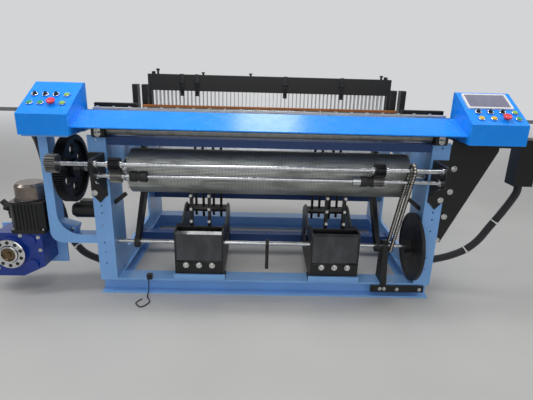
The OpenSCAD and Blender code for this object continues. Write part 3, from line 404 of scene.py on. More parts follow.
def make_finishes(colours):
    """Every finish of the loom, by the record's slot name or by its own name."""
    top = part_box("servo_motor")[0].z + 0.168
    chain_low, chain_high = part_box("drive_chain")
    reed_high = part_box("reed")[1].z
    # Edge tones of the painted finishes below are lighter than their paint: partly rubbed paint, partly a painted
    # highlight.
    edge_wear_and_highlight_tone = [min(1, c * 1.55) for c in colours.frame]
    FINISH.update(
        frame_blue=painted("powder_coat_light_blue", colours.frame, 0.36, 0.004, edge_wear_and_highlight_tone, coat=0.25),
        # Dark navy of the ties is painted shade on the frame's light blue coat; their edges take the frame's light
        # blue as a painted highlight.
        tie_blue=painted("light_blue_coat_in_painted_shade", colours.tie, 0.38, 0.004, colours.frame, coat=0.2),
        cover_blue=painted("gloss_enamel_blue", colours.cover, 0.26, 0.006, "#58b4ff", coat=0.3, dust=0.04),
        reducer_blue=painted("enamelled_casting", colours.casting, 0.3, 0.003, "#2c53c4", coat=0.2),
        black_paint=painted("satin_black_enamel", colours.black, 0.42, 0.003, "#3a3c40"),
        fell_aluminium=metal("milled_aluminium", "#d4d6d8", 0.34, (0.05, 1, 1), 0.004),
        ground_steel=metal("ground_steel_rod", "#c4c6c8", 0.2, (1, 0.1, 0.1), 0.006, stain=0.15),
        dark_steel=metal("blackened_steel", "#3a3b3d", 0.42, (1, 1, 1), 0.01, stain=0.5, dark="#141416"),
        grey_gear=metal("cut_steel_gear", "#8d8e8c", 0.36, (1, 1, 1), 0.006, stain=0.35),
        wound_wire=metal("wound_warp_wire", "#83868a", 0.4, (12, 1, 1), 0.02, stain=0.2),
        zinc=metal("zinc_plated_steel", "#d3d4d2", 0.26, (1, 1, 1), 0.004, stain=0.1, dark="#8b8779"),
        bright_ring=metal("chromed_brass", "#dadcde", 0.14, (1, 1, 1), 0.01),
        bronze=metal("turned_bronze", "#77654f", 0.3, (1, 1, 1), 0.004, stain=0.2, dark="#3b3020"),
        chain_steel=oiled_chain((chain_low.x + chain_high.x) / 2),
        mesh_wire=woven_wire(),
        reed_brass=split_finish(
            "reed_steel_and_varnished_cap", "Z", reed_high - 0.012,
            ("#8f9294", 1.0, 0.34), ("#a0602a", 0.0, 0.4),
        ),
        servo=split_finish(
            "servo_enamel_and_cast_cap", "Z", top, ("#0e0f11", 0.0, 0.4), ("#8b8078", 0.9, 0.24), 0.002,
        ),
        conduit_braid=braided_sleeve(),
        smoked_panel=smoked_acrylic(),
        screen_plastic=moulded("pale_abs", "#dcdcda", 0.42),
        knob_black=moulded("black_nylon", "#111214", 0.36),
        stop_red=moulded("red_abs", "#dd2a47", 0.3, coat=0.3),
        button_green=moulded("green_lens", "#2f9f68", 0.28, coat=0.3),
        button_lime=moulded("lime_lens", "#90bf50", 0.28, coat=0.3),
        button_yellow=moulded("yellow_lens", "#dcb93a", 0.28, coat=0.3),
        white_nylon=moulded("white_nylon", "#e9e9e4", 0.45),
        rubber=moulded("black_rubber", "#1b1b1c", 0.62),
        display=lit_display(colours.screen),
        healds=heald_frame(colours.black),
    )


NODE_FINISH = {
    "take_up_gear": "dark_steel",
    "feed_gears": "dark_steel",
    "press_gears": "grey_gear",
    "feed_wheels": "grey_gear",
    "warp_beam": "wound_wire",
    "left_rapier": "ground_steel",
    "right_rapier": "ground_steel",
    "servo_motor": "servo",
    "breast_roller": "grey_gear",
    "front_heald_frame": "healds",
    "rear_heald_frame": "healds",
}


def finish_node(name):
    """Gives a node of the frame its finish."""
    node = NODES[name]
    node.data.materials.clear()
    node.data.materials.append(FINISH[NODE_FINISH.get(name, SLOT_OF[name])])


def turned_frame(origin, axis):
    """Matrix that puts +Z along an axis at a point."""
    turn = UPWARD.rotation_difference(Vector(axis))
    return Matrix.Translation(origin) @ turn.to_matrix().to_4x4()


def turned(bm, profile, origin, axis, steps=24):
    """Adds a turned solid; the profile is (place along the axis, radius) from end to end."""
    place = turned_frame(origin, axis)
    rings = []
    for along, radius in profile:
        count = steps if radius else 1
        angles = [2 * math.pi * k / steps for k in range(count)]
        spots = [(radius * math.cos(a), radius * math.sin(a), along) for a in angles]
        rings.append([bm.verts.new(place @ Vector(s)) for s in spots])
    for low, high in zip(rings, rings[1:]):
        for k in range(steps):
            n = (k + 1) % steps
            corners = [low[k % len(low)], low[n % len(low)], high[n % len(high)], high[k % len(high)]]
            face = list(dict.fromkeys(corners))
            if len(face) > 2:
                bm.faces.new(face)


def bored(bm, bore, outline, origin, axis, steps=24):
    """Adds a turned ring with a bore; the outline is (place along the axis, radius) from end to end."""
    first, last = outline[0][0], outline[-1][0]
    turned(bm, [(first, bore), *outline, (last, bore), (first, bore)], origin, axis, steps)


def slab(bm, low, high, bevel, place=Matrix()):
    """Adds a box between two corners of a place, with its edges broken."""
    low, high = Vector(low), Vector(high)
    size = Matrix.Diagonal((high - low).to_4d())
    box = place @ Matrix.Translation((low + high) / 2) @ size
    made = bmesh.ops.create_cube(bm, size=1, matrix=box)
    edges = list({edge for vert in made["verts"] for edge in vert.link_edges})
    bmesh.ops.bevel(bm, geom=edges, offset=bevel, segments=2, affect="EDGES", profile=0.6)


def smooth_route(points, steps):
    """Smooth curve through given points."""
    path = []
    for i in range(len(points) - 1):
        a, b = points[max(0, i - 1)], points[i]
        c, d = points[i + 1], points[min(len(points) - 1, i + 2)]
        for k in range(steps):
            t = k / steps
            cubic = (b - c + (d - a) / 3) * 1.5
            path.append(b + (c - a) / 2 * t + (a - 2.5 * b + 2 * c - d / 2) * t**2 + cubic * t**3)
    path.append(points[-1])
    return path


def tube(bm, path, radius, sides):
    """Adds a closed tube along a path; its UV map counts sleeve widths round and along it."""
    uv = bm.loops.layers.uv.verify()
    side = Vector((0, 1, 0))
    rings = []
    for i, spot in enumerate(path):
        along = (path[min(i + 1, len(path) - 1)] - path[max(i - 1, 0)]).normalized()
        side = (side - along * side.dot(along)).normalized()
        up = along.cross(side)
        angles = [2 * math.pi * k / sides for k in range(sides)]
        rays = [math.cos(a) * side + math.sin(a) * up for a in angles]
        rings.append([bm.verts.new(spot + radius * ray) for ray in rays])
    far = 0.0
    for i in range(len(path) - 1):
        step = (path[i + 1] - path[i]).length / (2 * math.pi * radius)
        for k in range(sides):
            n = (k + 1) % sides
            face = bm.faces.new((rings[i][k], rings[i][n], rings[i + 1][n], rings[i + 1][k]))
            corners = ((k, far), (k + 1, far), (k + 1, far + step), (k, far + step))
            for loop, (turn, run) in zip(face.loops, corners):
                loop[uv].uv = (turn / sides, run)
        far += step
    bm.faces.new(rings[0][::-1])
    bm.faces.new(rings[-1])


def piece(name, bm, finish, body="frame", angle=35):
    """Makes a piece of the scene from a bmesh and rides it on a body."""
    bmesh.ops.remove_doubles(bm, verts=bm.verts, dist=1e-6)
    bmesh.ops.recalc_face_normals(bm, faces=bm.faces)
    mesh = bpy.data.meshes.new(name)
    bm.to_mesh(mesh)
    bm.free()
    return mesh_piece(name, mesh, finish, body, angle)


def mesh_piece(name, mesh, finish, body="frame", angle=35):
    """Puts a finished mesh into the scene with its finish and rides it on a body."""
    mesh.polygons.foreach_set("use_smooth", [True] * len(mesh.polygons))
    mesh.set_sharp_from_angle(angle=math.radians(angle))
    mesh.materials.clear()
    mesh.materials.append(FINISH[finish])
    obj = bpy.data.objects.new(name, mesh)
    bpy.context.scene.collection.objects.link(obj)
    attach(obj, body)
    return obj


class LOOM_OT_finishes(Operator):
    """Give every piece of the frame its finish"""

    bl_idname = "loom.finishes"
    bl_label = "Finishes"

    def execute(self, context):
        make_finishes(context.scene.loom_colours)
        for name in NODES:
            finish_node(name)
        return {"FINISHED"}


# Routes of the conduits in the machine's millimetres, and their ties' shares of the way
LEFT_ROUTE = [
    (-1150, 50, 935), (-1180, 50, 935), (-1225, 105, 900), (-1240, 195, 800), (-1225, 215, 660),
    (-1200, 215, 520), (-1165, 215, 400), (-1140, 205, 270), (-1060, 180, 165), (-940, 150, 125),
    (-880, 150, 125), (-820, 150, 125),
]
RIGHT_ROUTE = [
    (1340, 105, 640), (1340, 105, 590), (1290, 105, 490), (1232, 105, 394), (1180, 105, 310),
    (1117, 105, 252), (1040, 105, 215), (967, 105, 194), (880, 105, 180), (820, 105, 180),
]
LEFT_TIES = (0.41, 0.7)
RIGHT_TIES = (0.3, 0.56)
TIE_HEAD = Vector((0.005, 0.004, 0.004))
SOFT_ANGLE = 60


class LOOM_OT_conduits(Operator):
    """Run the two braided conduits with their cable ties"""

    bl_idname = "loom.conduits"
    bl_label = "Conduits"

    def execute(self, context):
        sizes = context.scene.loom_sizes
        for side, route, ties in (("left", LEFT_ROUTE, LEFT_TIES), ("right", RIGHT_ROUTE, RIGHT_TIES)):
            path = smooth_route([at(*spot) for spot in route], 6)
            sleeve = bmesh.new()
            tube(sleeve, path, sizes.conduit / 2, 24)
            conduit = piece(f"{side}_braided_conduit", sleeve, "conduit_braid", angle=SOFT_ANGLE)
            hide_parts(f"{side}_conduit")
            bands = bmesh.new()
            for share in ties:
                self.band(bands, path, share, sizes)
            tie_piece = piece(f"{side}_cable_ties", bands, "white_nylon")
        return {"FINISHED"}

    def band(self, bm, path, share, sizes):
        """Adds a cable tie round the sleeve, with its ratchet head."""
        i = int(share * (len(path) - 1))
        along = (path[i + 1] - path[i - 1]).normalized()
        inner, outer = sizes.conduit / 2 - 0.0004, sizes.conduit / 2 + 0.0014
        half = sizes.tie / 2
        bored(bm, inner, [(-half, outer), (half, outer)], path[i], along, 28)
        head = path[i] + OUTWARD * (outer + 0.002)
        slab(bm, head - TIE_HEAD, head + TIE_HEAD, 0.0008)


def scaled(tree, value, factor):
    """A number socket times a factor."""
    return maths(tree, "MULTIPLY", value, factor)


def drum(tree, sides, radius, height, base):
    """Cylinder of a pattern that stands at a height over its point."""
    half = scaled(tree, height, 0.5)
    middle = maths(tree, "ADD", base, half)
    solid = add_node(
        tree, "GeometryNodeMeshCylinder", {"Vertices": sides, "Radius": radius, "Depth": height}
    )
    lift = add_node(tree, "ShaderNodeCombineXYZ", {"Z": middle}).outputs[0]
    moved = add_node(
        tree, "GeometryNodeTransform", {"Geometry": solid.outputs["Mesh"], "Translation": lift}
    )
    return moved.outputs[0]


def stack(tree, radius, height, drums):
    """Drums one over another: sides, share of the radius, and shares of the height for depth and base."""
    joined = add_node(tree, "GeometryNodeJoinGeometry")
    for sides, wide, tall, base in drums:
        sizes = [scaled(tree, radius, wide), scaled(tree, height, tall), scaled(tree, height, base)]
        tree.links.new(drum(tree, sides, *sizes), joined.inputs[0])
    return joined.outputs[0]


def hex_bolt(tree, radius, height):
    """Washer, hexagon head and the end of the shank above it."""
    return stack(tree, radius, height, ((24, 1.45, 0.25, 0), (6, 1, 1, 0.2), (16, 0.5, 0.3, 1.15)))


def socket_screw(tree, radius, height):
    """Round screw head or pin with a stepped rim."""
    return stack(tree, radius, height, ((20, 1, 0.85, 0), (20, 0.86, 0.2, 0.85)))


def round_ring(tree, radius, height):
    """Ring of round section; its height is the section's radius."""
    path = add_node(tree, "GeometryNodeCurvePrimitiveCircle", {"Resolution": 36, "Radius": radius})
    section = add_node(tree, "GeometryNodeCurvePrimitiveCircle", {"Resolution": 10, "Radius": height})
    swept = add_node(
        tree, "GeometryNodeCurveToMesh", {"Curve": path.outputs[0], "Profile Curve": section.outputs[0]}
    )
    return swept.outputs[0]


def wire_end(tree, radius, height):
    """Straight end of a cut wire."""
    return drum(tree, 5, radius, height, 0.0)


PATTERN_INPUTS = (
    ("Points", "NodeSocketGeometry"),
    ("Radius", "NodeSocketFloat"),
    ("Height", "NodeSocketFloat"),
    ("Tilt", "NodeSocketFloat"),
    ("Seed", "NodeSocketInt"),
    ("Material", "NodeSocketMaterial"),
)


def pattern_tree(shape):
    """Node group that sets copies of a shape on points, each along its aim with a seeded tilt."""
    found = bpy.data.node_groups.get(shape.__name__)
    if found:
        return found
    tree = bpy.data.node_groups.new(shape.__name__, "GeometryNodeTree")
    for name, kind in PATTERN_INPUTS:
        tree.interface.new_socket(name, in_out="INPUT", socket_type=kind)
    tree.interface.new_socket("Mesh", in_out="OUTPUT", socket_type="NodeSocketGeometry")
    given = add_node(tree, "NodeGroupInput").outputs
    aim = add_node(tree, "GeometryNodeInputNamedAttribute", {"Name": "aim"}, data_type="FLOAT_VECTOR")
    turn = add_node(tree, "FunctionNodeAlignRotationToVector", {"Vector": aim.outputs[0]}, axis="Z")
    spread = {0: scaled(tree, given["Tilt"], -1), 1: given["Tilt"], 8: given["Seed"]}
    lean = add_node(tree, "FunctionNodeRandomValue", spread, data_type="FLOAT_VECTOR")
    lean = add_node(tree, "FunctionNodeEulerToRotation", {0: lean.outputs[0]})
    both = {"Rotation": turn.outputs[0], "Rotate By": lean.outputs[0]}
    turned_by = add_node(tree, "FunctionNodeRotateRotation", both, rotation_space="LOCAL")
    copies = {
        "Points": given["Points"],
        "Instance": shape(tree, given["Radius"], given["Height"]),
        "Rotation": turned_by.outputs[0],
    }
    placed = add_node(tree, "GeometryNodeInstanceOnPoints", copies)
    solid = add_node(tree, "GeometryNodeRealizeInstances", {"Geometry": placed.outputs[0]})
    dressed = {"Geometry": solid.outputs[0], "Material": given["Material"]}
    result = add_node(tree, "GeometryNodeSetMaterial", dressed)
    add_node(tree, "NodeGroupOutput", {0: result.outputs[0]})
    return tree


PATTERN_SEED = 7


def set_out(name, shape, spots, radius, height, finish="zinc", body="frame", tilt=0.0):
    """Sets a pattern out on pairs of point and aim, and rides its plain mesh on a body."""
    points = bpy.data.meshes.new(name)
    points.from_pydata([spot for spot, _ in spots], [], [])
    aims = points.attributes.new("aim", "FLOAT_VECTOR", "POINT")
    for item, (_, aim) in zip(aims.data, spots):
        item.vector = aim
    carrier = bpy.data.objects.new(name, points)
    bpy.context.scene.collection.objects.link(carrier)
    tree = pattern_tree(shape)
    values = {"Radius": radius, "Height": height, "Tilt": tilt, "Seed": PATTERN_SEED}
    values["Material"] = FINISH[finish]
    modifier = carrier.modifiers.new("Pattern", "NODES")
    modifier.node_group = tree
    for item in tree.interface.items_tree:
        if item.in_out == "INPUT" and item.name in values:
            modifier[item.identifier] = values[item.name]
    graph = bpy.context.evaluated_depsgraph_get()
    mesh = bpy.data.meshes.new_from_object(carrier.evaluated_get(graph))
    carrier.modifiers.clear()
    bpy.data.objects.remove(carrier)
    return mesh_piece(name, mesh, finish, body)


COVER_LIP = 0.005
LIP_REACH = 0.02


class LOOM_OT_cover(Operator):
    """Fold the breast cover's front lip as short as the photograph shows it"""

    bl_idname = "loom.cover"
    bl_label = "Breast cover"

    def execute(self, context):
        mesh = NODES["breast_cover"].data.copy()
        edge = min(vert.co.y for vert in mesh.vertices)
        lip = [vert for vert in mesh.vertices if vert.co.y < edge + LIP_REACH]
        crest = max(vert.co.z for vert in lip if vert.co.y < edge + 0.0001)
        for vert in lip:
            vert.co.z = max(vert.co.z, crest - COVER_LIP)
        cover = mesh_piece("breast_cover_sheet", mesh, "cover_blue")
        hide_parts("breast_cover")
        return {"FINISHED"}


CONTROLS = [joint for joint in frame["joints"] if joint["child"].endswith("_body")]
RINGED = [joint["child"].removesuffix("_body") for joint in CONTROLS if "stop" not in joint["child"]]
PANEL_OUT = Vector((0, -abs(CONTROLS[0]["axis"][1]), abs(CONTROLS[0]["axis"][2])))
PANEL_EDGE = at(0, -150, 986)
RING_RISE = 0.0058
RING_R = 0.0132
GLASS_HALF = (0.0988, 0.0508, 0.003)
GLASS_RISE = 0.0016
POST_BOLTS = [
    (937, 10, 740), (935, 10, 618), (925, 10, 481), (905, 10, 347), (880, -8, 673), (862, -8, 644),
    (884, -8, 577), (-880, -8, 675), (-862, -8, 640), (-884, -8, 577), (820, -70, 905), (-820, -70, 905),
    (820, -70, 890), (-820, -70, 890),
]
FOOT_BOLTS = [(623, -14, 62), (647, -14, 62), (718, -14, 60), (842, -14, 60)]


class LOOM_OT_bolts(Operator):
    """Set the bolts of the posts and of the disc bracket's foot"""

    bl_idname = "loom.bolts"
    bl_label = "Bolts"

    def execute(self, context):
        sizes = context.scene.loom_sizes
        big = [(at(*spot), OUTWARD) for spot in POST_BOLTS]
        set_out("post_bolts", hex_bolt, big, sizes.bolt / 2, 0.009)
        small = [(at(*spot), OUTWARD) for spot in FOOT_BOLTS]
        set_out("foot_bolts", hex_bolt, small, sizes.screw / 2, 0.007)
        return {"FINISHED"}


class LOOM_OT_panels(Operator):
    """Fit the bright rings round knobs and buttons, and the touch screen's glass"""

    bl_idname = "loom.panels"
    bl_label = "Panel fittings"

    def execute(self, context):
        sizes = context.scene.loom_sizes
        rings = [(self.seat(control), PANEL_OUT) for control in RINGED]
        set_out("control_rings", round_ring, rings, RING_R, sizes.bezel, "bright_ring")
        low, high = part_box("touch_screen")
        middle = (low + high) / 2 + PANEL_OUT * GLASS_RISE
        turn = Matrix((ALONG, PANEL_OUT.cross(ALONG), PANEL_OUT)).transposed().to_4x4()
        wide, tall, back = GLASS_HALF
        glass = bmesh.new()
        place = Matrix.Translation(middle) @ turn
        slab(glass, (-wide, -tall, -back), (wide, tall, 0), 0.0006, place)
        piece("screen_glass", glass, "display")
        return {"FINISHED"}

    def seat(self, control):
        """Point just over the rim of a control's raised ring."""
        low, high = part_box(control)
        middle = (low + high) / 2
        return middle - PANEL_OUT * ((middle - PANEL_EDGE).dot(PANEL_OUT) - RING_RISE)


WHEEL_AT = at(-1357, -22, 235)
FLANGE_OUTLINE = [(0, 0.082), (0.006, 0.082), (0.009, 0.078)]
FLANGE_BORE = 0.05
SPIGOT_OUTLINE = [(0, 0.047), (0.014, 0.047), (0.016, 0.044)]
HUB_R = 0.038
HUB_OUTLINE = [(0, HUB_R), (0.006, HUB_R), (0.008, 0.03), (0.008, 0.014), (0.014, 0.012), (0.014, 0)]
POCKETS = 10
POCKET_CIRCLE = 0.065
REDUCER_PLUGS = ((-1300, 331), (-1208, 322), (-1444, 303), (-1440, 140), (-1204, 250))
SERVO_AT = at(-1252, 77.5, 363)
RIB_LOW = Vector((-0.058, -0.0925, 0.006))
RIB_SIZE = Vector((0.008, 0.008, 0.136))
RIBS = 7
RIB_PITCH = 0.018
BAND_SIZE = Vector((0.132, 0.006, 0.008))
BAND_HEIGHTS = (-0.002, 0.144)
RIM_Z = 0.15
RIM_BORE = 0.0745
RIM_OUTLINE = [(0, 0.083), (0.006, 0.083), (0.010, 0.079)]
SERVO_PLUGS = ((0.02, 0.064), (-0.018, 0.102))
SERVO_SCREWS = [Vector((x, y, 0)) for x in (-0.076, 0.076) for y in (-0.076, 0.076)]


class LOOM_OT_drive(Operator):
    """Dress the reducer and the servo motor: flange, hub, screws, ribs, rim and plugs"""

    bl_idname = "loom.drive"
    bl_label = "Drive unit"

    def execute(self, context):
        sizes = context.scene.loom_sizes
        flange, hub = bmesh.new(), bmesh.new()
        bored(flange, FLANGE_BORE, FLANGE_OUTLINE, WHEEL_AT, OUTWARD, 48)
        bored(flange, HUB_R, SPIGOT_OUTLINE, WHEEL_AT, OUTWARD, 48)
        piece("reducer_flange", flange, "bright_ring")
        turned(hub, HUB_OUTLINE, WHEEL_AT, OUTWARD, 36)
        piece("reducer_hub", hub, "bronze")
        turns = [2 * math.pi * (k + 0.5) / POCKETS for k in range(POCKETS)]
        rays = [Vector((math.cos(turn), 0, math.sin(turn))) for turn in turns]
        pockets = [(WHEEL_AT + POCKET_CIRCLE * ray, OUTWARD) for ray in rays]
        set_out("flange_pockets", socket_screw, pockets, 0.011, 0.0098, "knob_black")
        plugs = [(at(x, -0.5, z), OUTWARD) for x, z in REDUCER_PLUGS]
        set_out("reducer_screws", hex_bolt, plugs, sizes.screw / 2, 0.008)
        self.servo()
        return {"FINISHED"}

    def servo(self):
        """Ribs and bands on the servo's front, its rim, its two plugs and the screws of its flange."""
        ribs, cap, plugs = bmesh.new(), bmesh.new(), bmesh.new()
        for k in range(RIBS):
            low = SERVO_AT + RIB_LOW + ALONG * RIB_PITCH * k
            slab(ribs, low, low + RIB_SIZE, 0.002)
        for z in BAND_HEIGHTS:
            low = SERVO_AT + Vector((-BAND_SIZE.x / 2, -0.091, z))
            slab(ribs, low, low + BAND_SIZE, 0.0015)
        piece("servo_ribs", ribs, "black_paint")
        bored(cap, RIM_BORE, RIM_OUTLINE, SERVO_AT + UPWARD * RIM_Z, UPWARD, 48)
        piece("servo_rim", cap, "black_paint")
        for y, z in SERVO_PLUGS:
            socket = SERVO_AT + Vector((-0.118, y, z))
            bend = [socket + Vector((0.03 - 0.02 * k, 0, 0.004 * k * k)) for k in range(4)]
            tube(plugs, smooth_route(bend, 3), 0.0155, 16)
            bored(plugs, 0.016, [(0, 0.0195), (0.02, 0.0195)], socket, (-1, 0, 0.3), 20)
        piece("servo_plugs", plugs, "rubber")
        screws = [(SERVO_AT + spot, UPWARD) for spot in SERVO_SCREWS]
        set_out("servo_screws", socket_screw, screws, 0.007, 0.009)


# Places on the lift units, in the machine's millimetres
LIFT_X = 366
PAD_HALF = 139
CROSSBAR_HALF = 131
ARM_HALF = 7
LIFT_BOLTS = (-70, 0, 70)
LIFT_ARMS = (-48, 48)
LIFT_PINS = (400, 470, 545)
SLEEVE_BORE = 0.012
SLEEVE_OUTLINE = [(0, 0.021), (0.016, 0.021), (0.018, 0.019), (0.222, 0.019), (0.224, 0.021), (0.24, 0.021)]


class LOOM_OT_lifts(Operator):
    """Dress the heald lift units: pads, spring bolts, arms, pins and the sleeves on the rocker shaft"""

    bl_idname = "loom.lifts"
    bl_label = "Lift units"

    def execute(self, context):
        pads, arms, sleeves = bmesh.new(), bmesh.new(), bmesh.new()
        bolts, pins = [], []
        rocker = JOINT_AT["sley_rock"]
        for x in (-LIFT_X, LIFT_X):
            slab(pads, at(x - PAD_HALF, -6, 92), at(x + PAD_HALF, 9, 122), 0.003)
            bolts += [(at(x + dx, -1, 178), OUTWARD) for dx in LIFT_BOLTS]
            slab(arms, at(x - CROSSBAR_HALF, 84, 330), at(x + CROSSBAR_HALF, 98, 368), 0.003)
            for arm in (x + dx for dx in LIFT_ARMS):
                slab(arms, at(arm - ARM_HALF, 86, 332), at(arm + ARM_HALF, 132, 560), 0.003)
                pins += [(at(arm, 86, z), OUTWARD) for z in LIFT_PINS]
            end = Vector((x * MM - SLEEVE_OUTLINE[-1][0] / 2, rocker.y, rocker.z))
            bored(sleeves, SLEEVE_BORE, SLEEVE_OUTLINE, end, ALONG, 28)
        piece("lift_pads", pads, "frame_blue")
        piece("lift_arms", arms, "black_paint")
        piece("rocker_sleeves", sleeves, "black_paint", body="sley")
        set_out("spring_bolts", hex_bolt, bolts, 0.011, 0.012)
        set_out("lift_pins", socket_screw, pins, 0.008, 0.012)
        return {"FINISHED"}


# Fittings of the front heald frame in the machine's millimetres; pins by their place and rise
HEALD_TOP = 1150
STRAP_X = (-505, -420, 87, 414)
PIN_X = {-641: 30, -384: 16, -113: 16, 640: 22}
# Half width, near and far face off the frame's front, foot, top and broken edge of a hanger's parts
HANGER_PARTS = (
    (11, -5, 1, 1036, HEALD_TOP + 4, 0.0015),
    (16, -8, 0, 1098, 1116, 0.002),
    (11, -12, -3, 1032, 1042, 0.002),
)


class LOOM_OT_healds(Operator):
    """Fit the hangers and pins on the front heald frame"""

    bl_idname = "loom.healds"
    bl_label = "Heald fittings"

    def execute(self, context):
        front = (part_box("front_heald_frame")[0].y - FRONT_Y) / MM
        straps, pins = bmesh.new(), bmesh.new()
        for x in STRAP_X:
            for half, near, far, foot, top, bevel in HANGER_PARTS:
                slab(straps, at(x - half, front + near, foot), at(x + half, front + far, top), bevel)
        for x, rise in PIN_X.items():
            tall = rise * MM
            neck = [(-0.002, 0), (-0.002, 0.006), (tall * 0.6, 0.006), (tall * 0.62, 0.01)]
            neck += [(tall * 0.95, 0.01), (tall, 0.008), (tall, 0)]
            turned(pins, neck, at(x, front + 8, HEALD_TOP), UPWARD, 20)
        piece("heald_hangers", straps, "dark_steel", "front_heald")
        piece("heald_pins", pins, "knob_black", "front_heald")
        return {"FINISHED"}


# The mesh's last turn over the roll: its two ends in degrees, the rows and columns it is drawn in
LAP_ENDS = (100, 248)
LAP_ROWS = 40
LAP_COLUMNS = 24
LAP_INSET = 0.004
LAP_RISE = 0.0006
RIPPLE = 0.0006
CURL_FROM = 0.86
CURL = 0.004
LAP_THICK = 0.0012
FRINGE_SEED = 11
FRINGE_DEPTH = 0.03


class LOOM_OT_web(Operator):
    """Lap the mesh's last turn over the roll and fray the cut wires at its two edges"""

    bl_idname = "loom.web"
    bl_label = "Mesh roll"

    def execute(self, context):
        low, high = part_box("mesh_roll")
        self.lap(low.x + LAP_INSET, high.x - LAP_INSET)
        self.fringe(context.scene.loom_sizes, ((low.x + 0.003, -1), (high.x - 0.003, 1)))
        return {"FINISHED"}

    def lap(self, left, right):
        """Last turn of the mesh, slightly rippled, whose cut edge curls off the roll."""
        lap = bmesh.new()
        first, last = (math.radians(turn) for turn in LAP_ENDS)
        rows = []
        for i in range(LAP_ROWS + 1):
            turn = first + (last - first) * i / LAP_ROWS
            lift = LAP_RISE + CURL * max(0, (i / LAP_ROWS - CURL_FROM) / (1 - CURL_FROM)) ** 2
            row = []
            for k in range(LAP_COLUMNS + 1):
                x = left + (right - left) * k / LAP_COLUMNS
                radius = ROLL_R + lift + RIPPLE * math.sin(9 * x + 0.4 * i)
                y = ROLL_AXIS.y + radius * math.cos(turn)
                row.append(lap.verts.new((x, y, ROLL_AXIS.z + radius * math.sin(turn))))
            rows.append(row)
        for near, far in zip(rows, rows[1:]):
            for k in range(LAP_COLUMNS):
                lap.faces.new((near[k], near[k + 1], far[k + 1], far[k]))
        bmesh.ops.solidify(lap, geom=lap.faces[:], thickness=-LAP_THICK)
        piece("mesh_lap", lap, "mesh_wire", body="roll", angle=SOFT_ANGLE)

    def fringe(self, sizes, edges):
        """Cut wire ends that stand out of the roll's two edges."""
        dice = random.Random(FRINGE_SEED)
        ends = []
        for x, side in edges:
            for k in range(sizes.fringe):
                turn = 2 * math.pi * (k + dice.random()) / sizes.fringe
                radius = ROLL_R - 0.001 - FRINGE_DEPTH * dice.random() ** 2
                out = radius * Vector((0, math.cos(turn), math.sin(turn)))
                ends.append((Vector((x, ROLL_AXIS.y, ROLL_AXIS.z)) + out, side * ALONG))
        set_out("wire_ends", wire_end, ends, sizes.wire / 2, 0.011, "zinc", "roll", tilt=0.5)


# Outlines of the press shaft's couplings and of the bearing rings, along each shaft in metres
GRIP_X = (-0.66, 0.43)
GRIP_BORE = 0.011
GRIP_OUTLINE = [
    (0, 0.024), (0.004, 0.026), (0.03, 0.026), (0.034, 0.022),
    (0.046, 0.022), (0.05, 0.026), (0.076, 0.026), (0.08, 0.024),
]
BRACKET_RING = [(0, 0.023), (0.005, 0.024), (0.009, 0.02)]
ROLL_RING = [(0, 0.05), (0.008, 0.052), (0.016, 0.046)]
# Bore, distance from the middle, outline and steps of the rings on each shaft
BEARINGS = {
    "feed_spin": (0.0115, 0.834, BRACKET_RING, 28),
    "press_spin": (0.0105, 0.834, BRACKET_RING, 28),
    "roll_spin": (0.0205, 0.9, ROLL_RING, 40),
}


class LOOM_OT_shafts(Operator):
    """Fit the couplings and bearing rings on the shafts"""

    bl_idname = "loom.shafts"
    bl_label = "Shaft fittings"

    def execute(self, context):
        grips, rings = bmesh.new(), bmesh.new()
        press = JOINT_AT["press_spin"]
        for x in GRIP_X:
            bored(grips, GRIP_BORE, GRIP_OUTLINE, Vector((x, press.y, press.z)), ALONG, 28)
        piece("press_couplings", grips, "rubber", "press")
        for side in (-1, 1):
            for joint, (bore, reach, outline, steps) in BEARINGS.items():
                shaft = JOINT_AT[joint]
                bored(rings, bore, outline, Vector((side * reach, shaft.y, shaft.z)), side * ALONG, steps)
        piece("bearing_rings", rings, "dark_steel")
        return {"FINISHED"}


# Ends of the right strut and place of the terminal block, in the machine's millimetres
STRUT_ENDS = ((748, 60, 556), (812, 60, 504))
STRUT_HALF = 0.011
BLOCK_AT = (-1095, 120, 338)
BLOCK_SIZE = Vector((0.105, 0.07, 0.062))
BLOCK_LEAN = 17


class LOOM_OT_struts(Operator):
    """Fit the black struts inside the side frames and the terminal block on the outrigger"""

    bl_idname = "loom.struts"
    bl_label = "Struts and block"

    def execute(self, context):
        bars, block = bmesh.new(), bmesh.new()
        for side in (-1, 1):
            top, foot = (at(side * x, y, z) for x, y, z in STRUT_ENDS)
            corner = Vector((STRUT_HALF, STRUT_HALF, (foot - top).length))
            slab(bars, (-STRUT_HALF, -STRUT_HALF, 0), corner, 0.003, turned_frame(top, foot - top))
        piece("inner_struts", bars, "black_paint")
        lean = Matrix.Rotation(math.radians(BLOCK_LEAN), 4, "Y")
        slab(block, -BLOCK_SIZE / 2, BLOCK_SIZE / 2, 0.003, Matrix.Translation(at(*BLOCK_AT)) @ lean)
        piece("outrigger_block", block, "frame_blue")
        front = at(*BLOCK_AT) + OUTWARD * (BLOCK_SIZE.y / 2 - 0.0005)
        heads = [(front + lean @ Vector((x, 0, 0.01)), OUTWARD) for x in (-0.03, 0.03)]
        set_out("block_bolts", hex_bolt, heads, 0.008, 0.007)
        return {"FINISHED"}


# Route of the lead in the machine's millimetres, from the switch down to its coil on the floor
LEAD_ROUTE = [
    (-635, -14, 108), (-635, -26, 96), (-637, -24, 60), (-640, -26, 26), (-643, -44, 5), (-620, -94, 3.6),
    (-651, -143, 3.6), (-688, -106, 3.6), (-667, -65, 3.6),
]


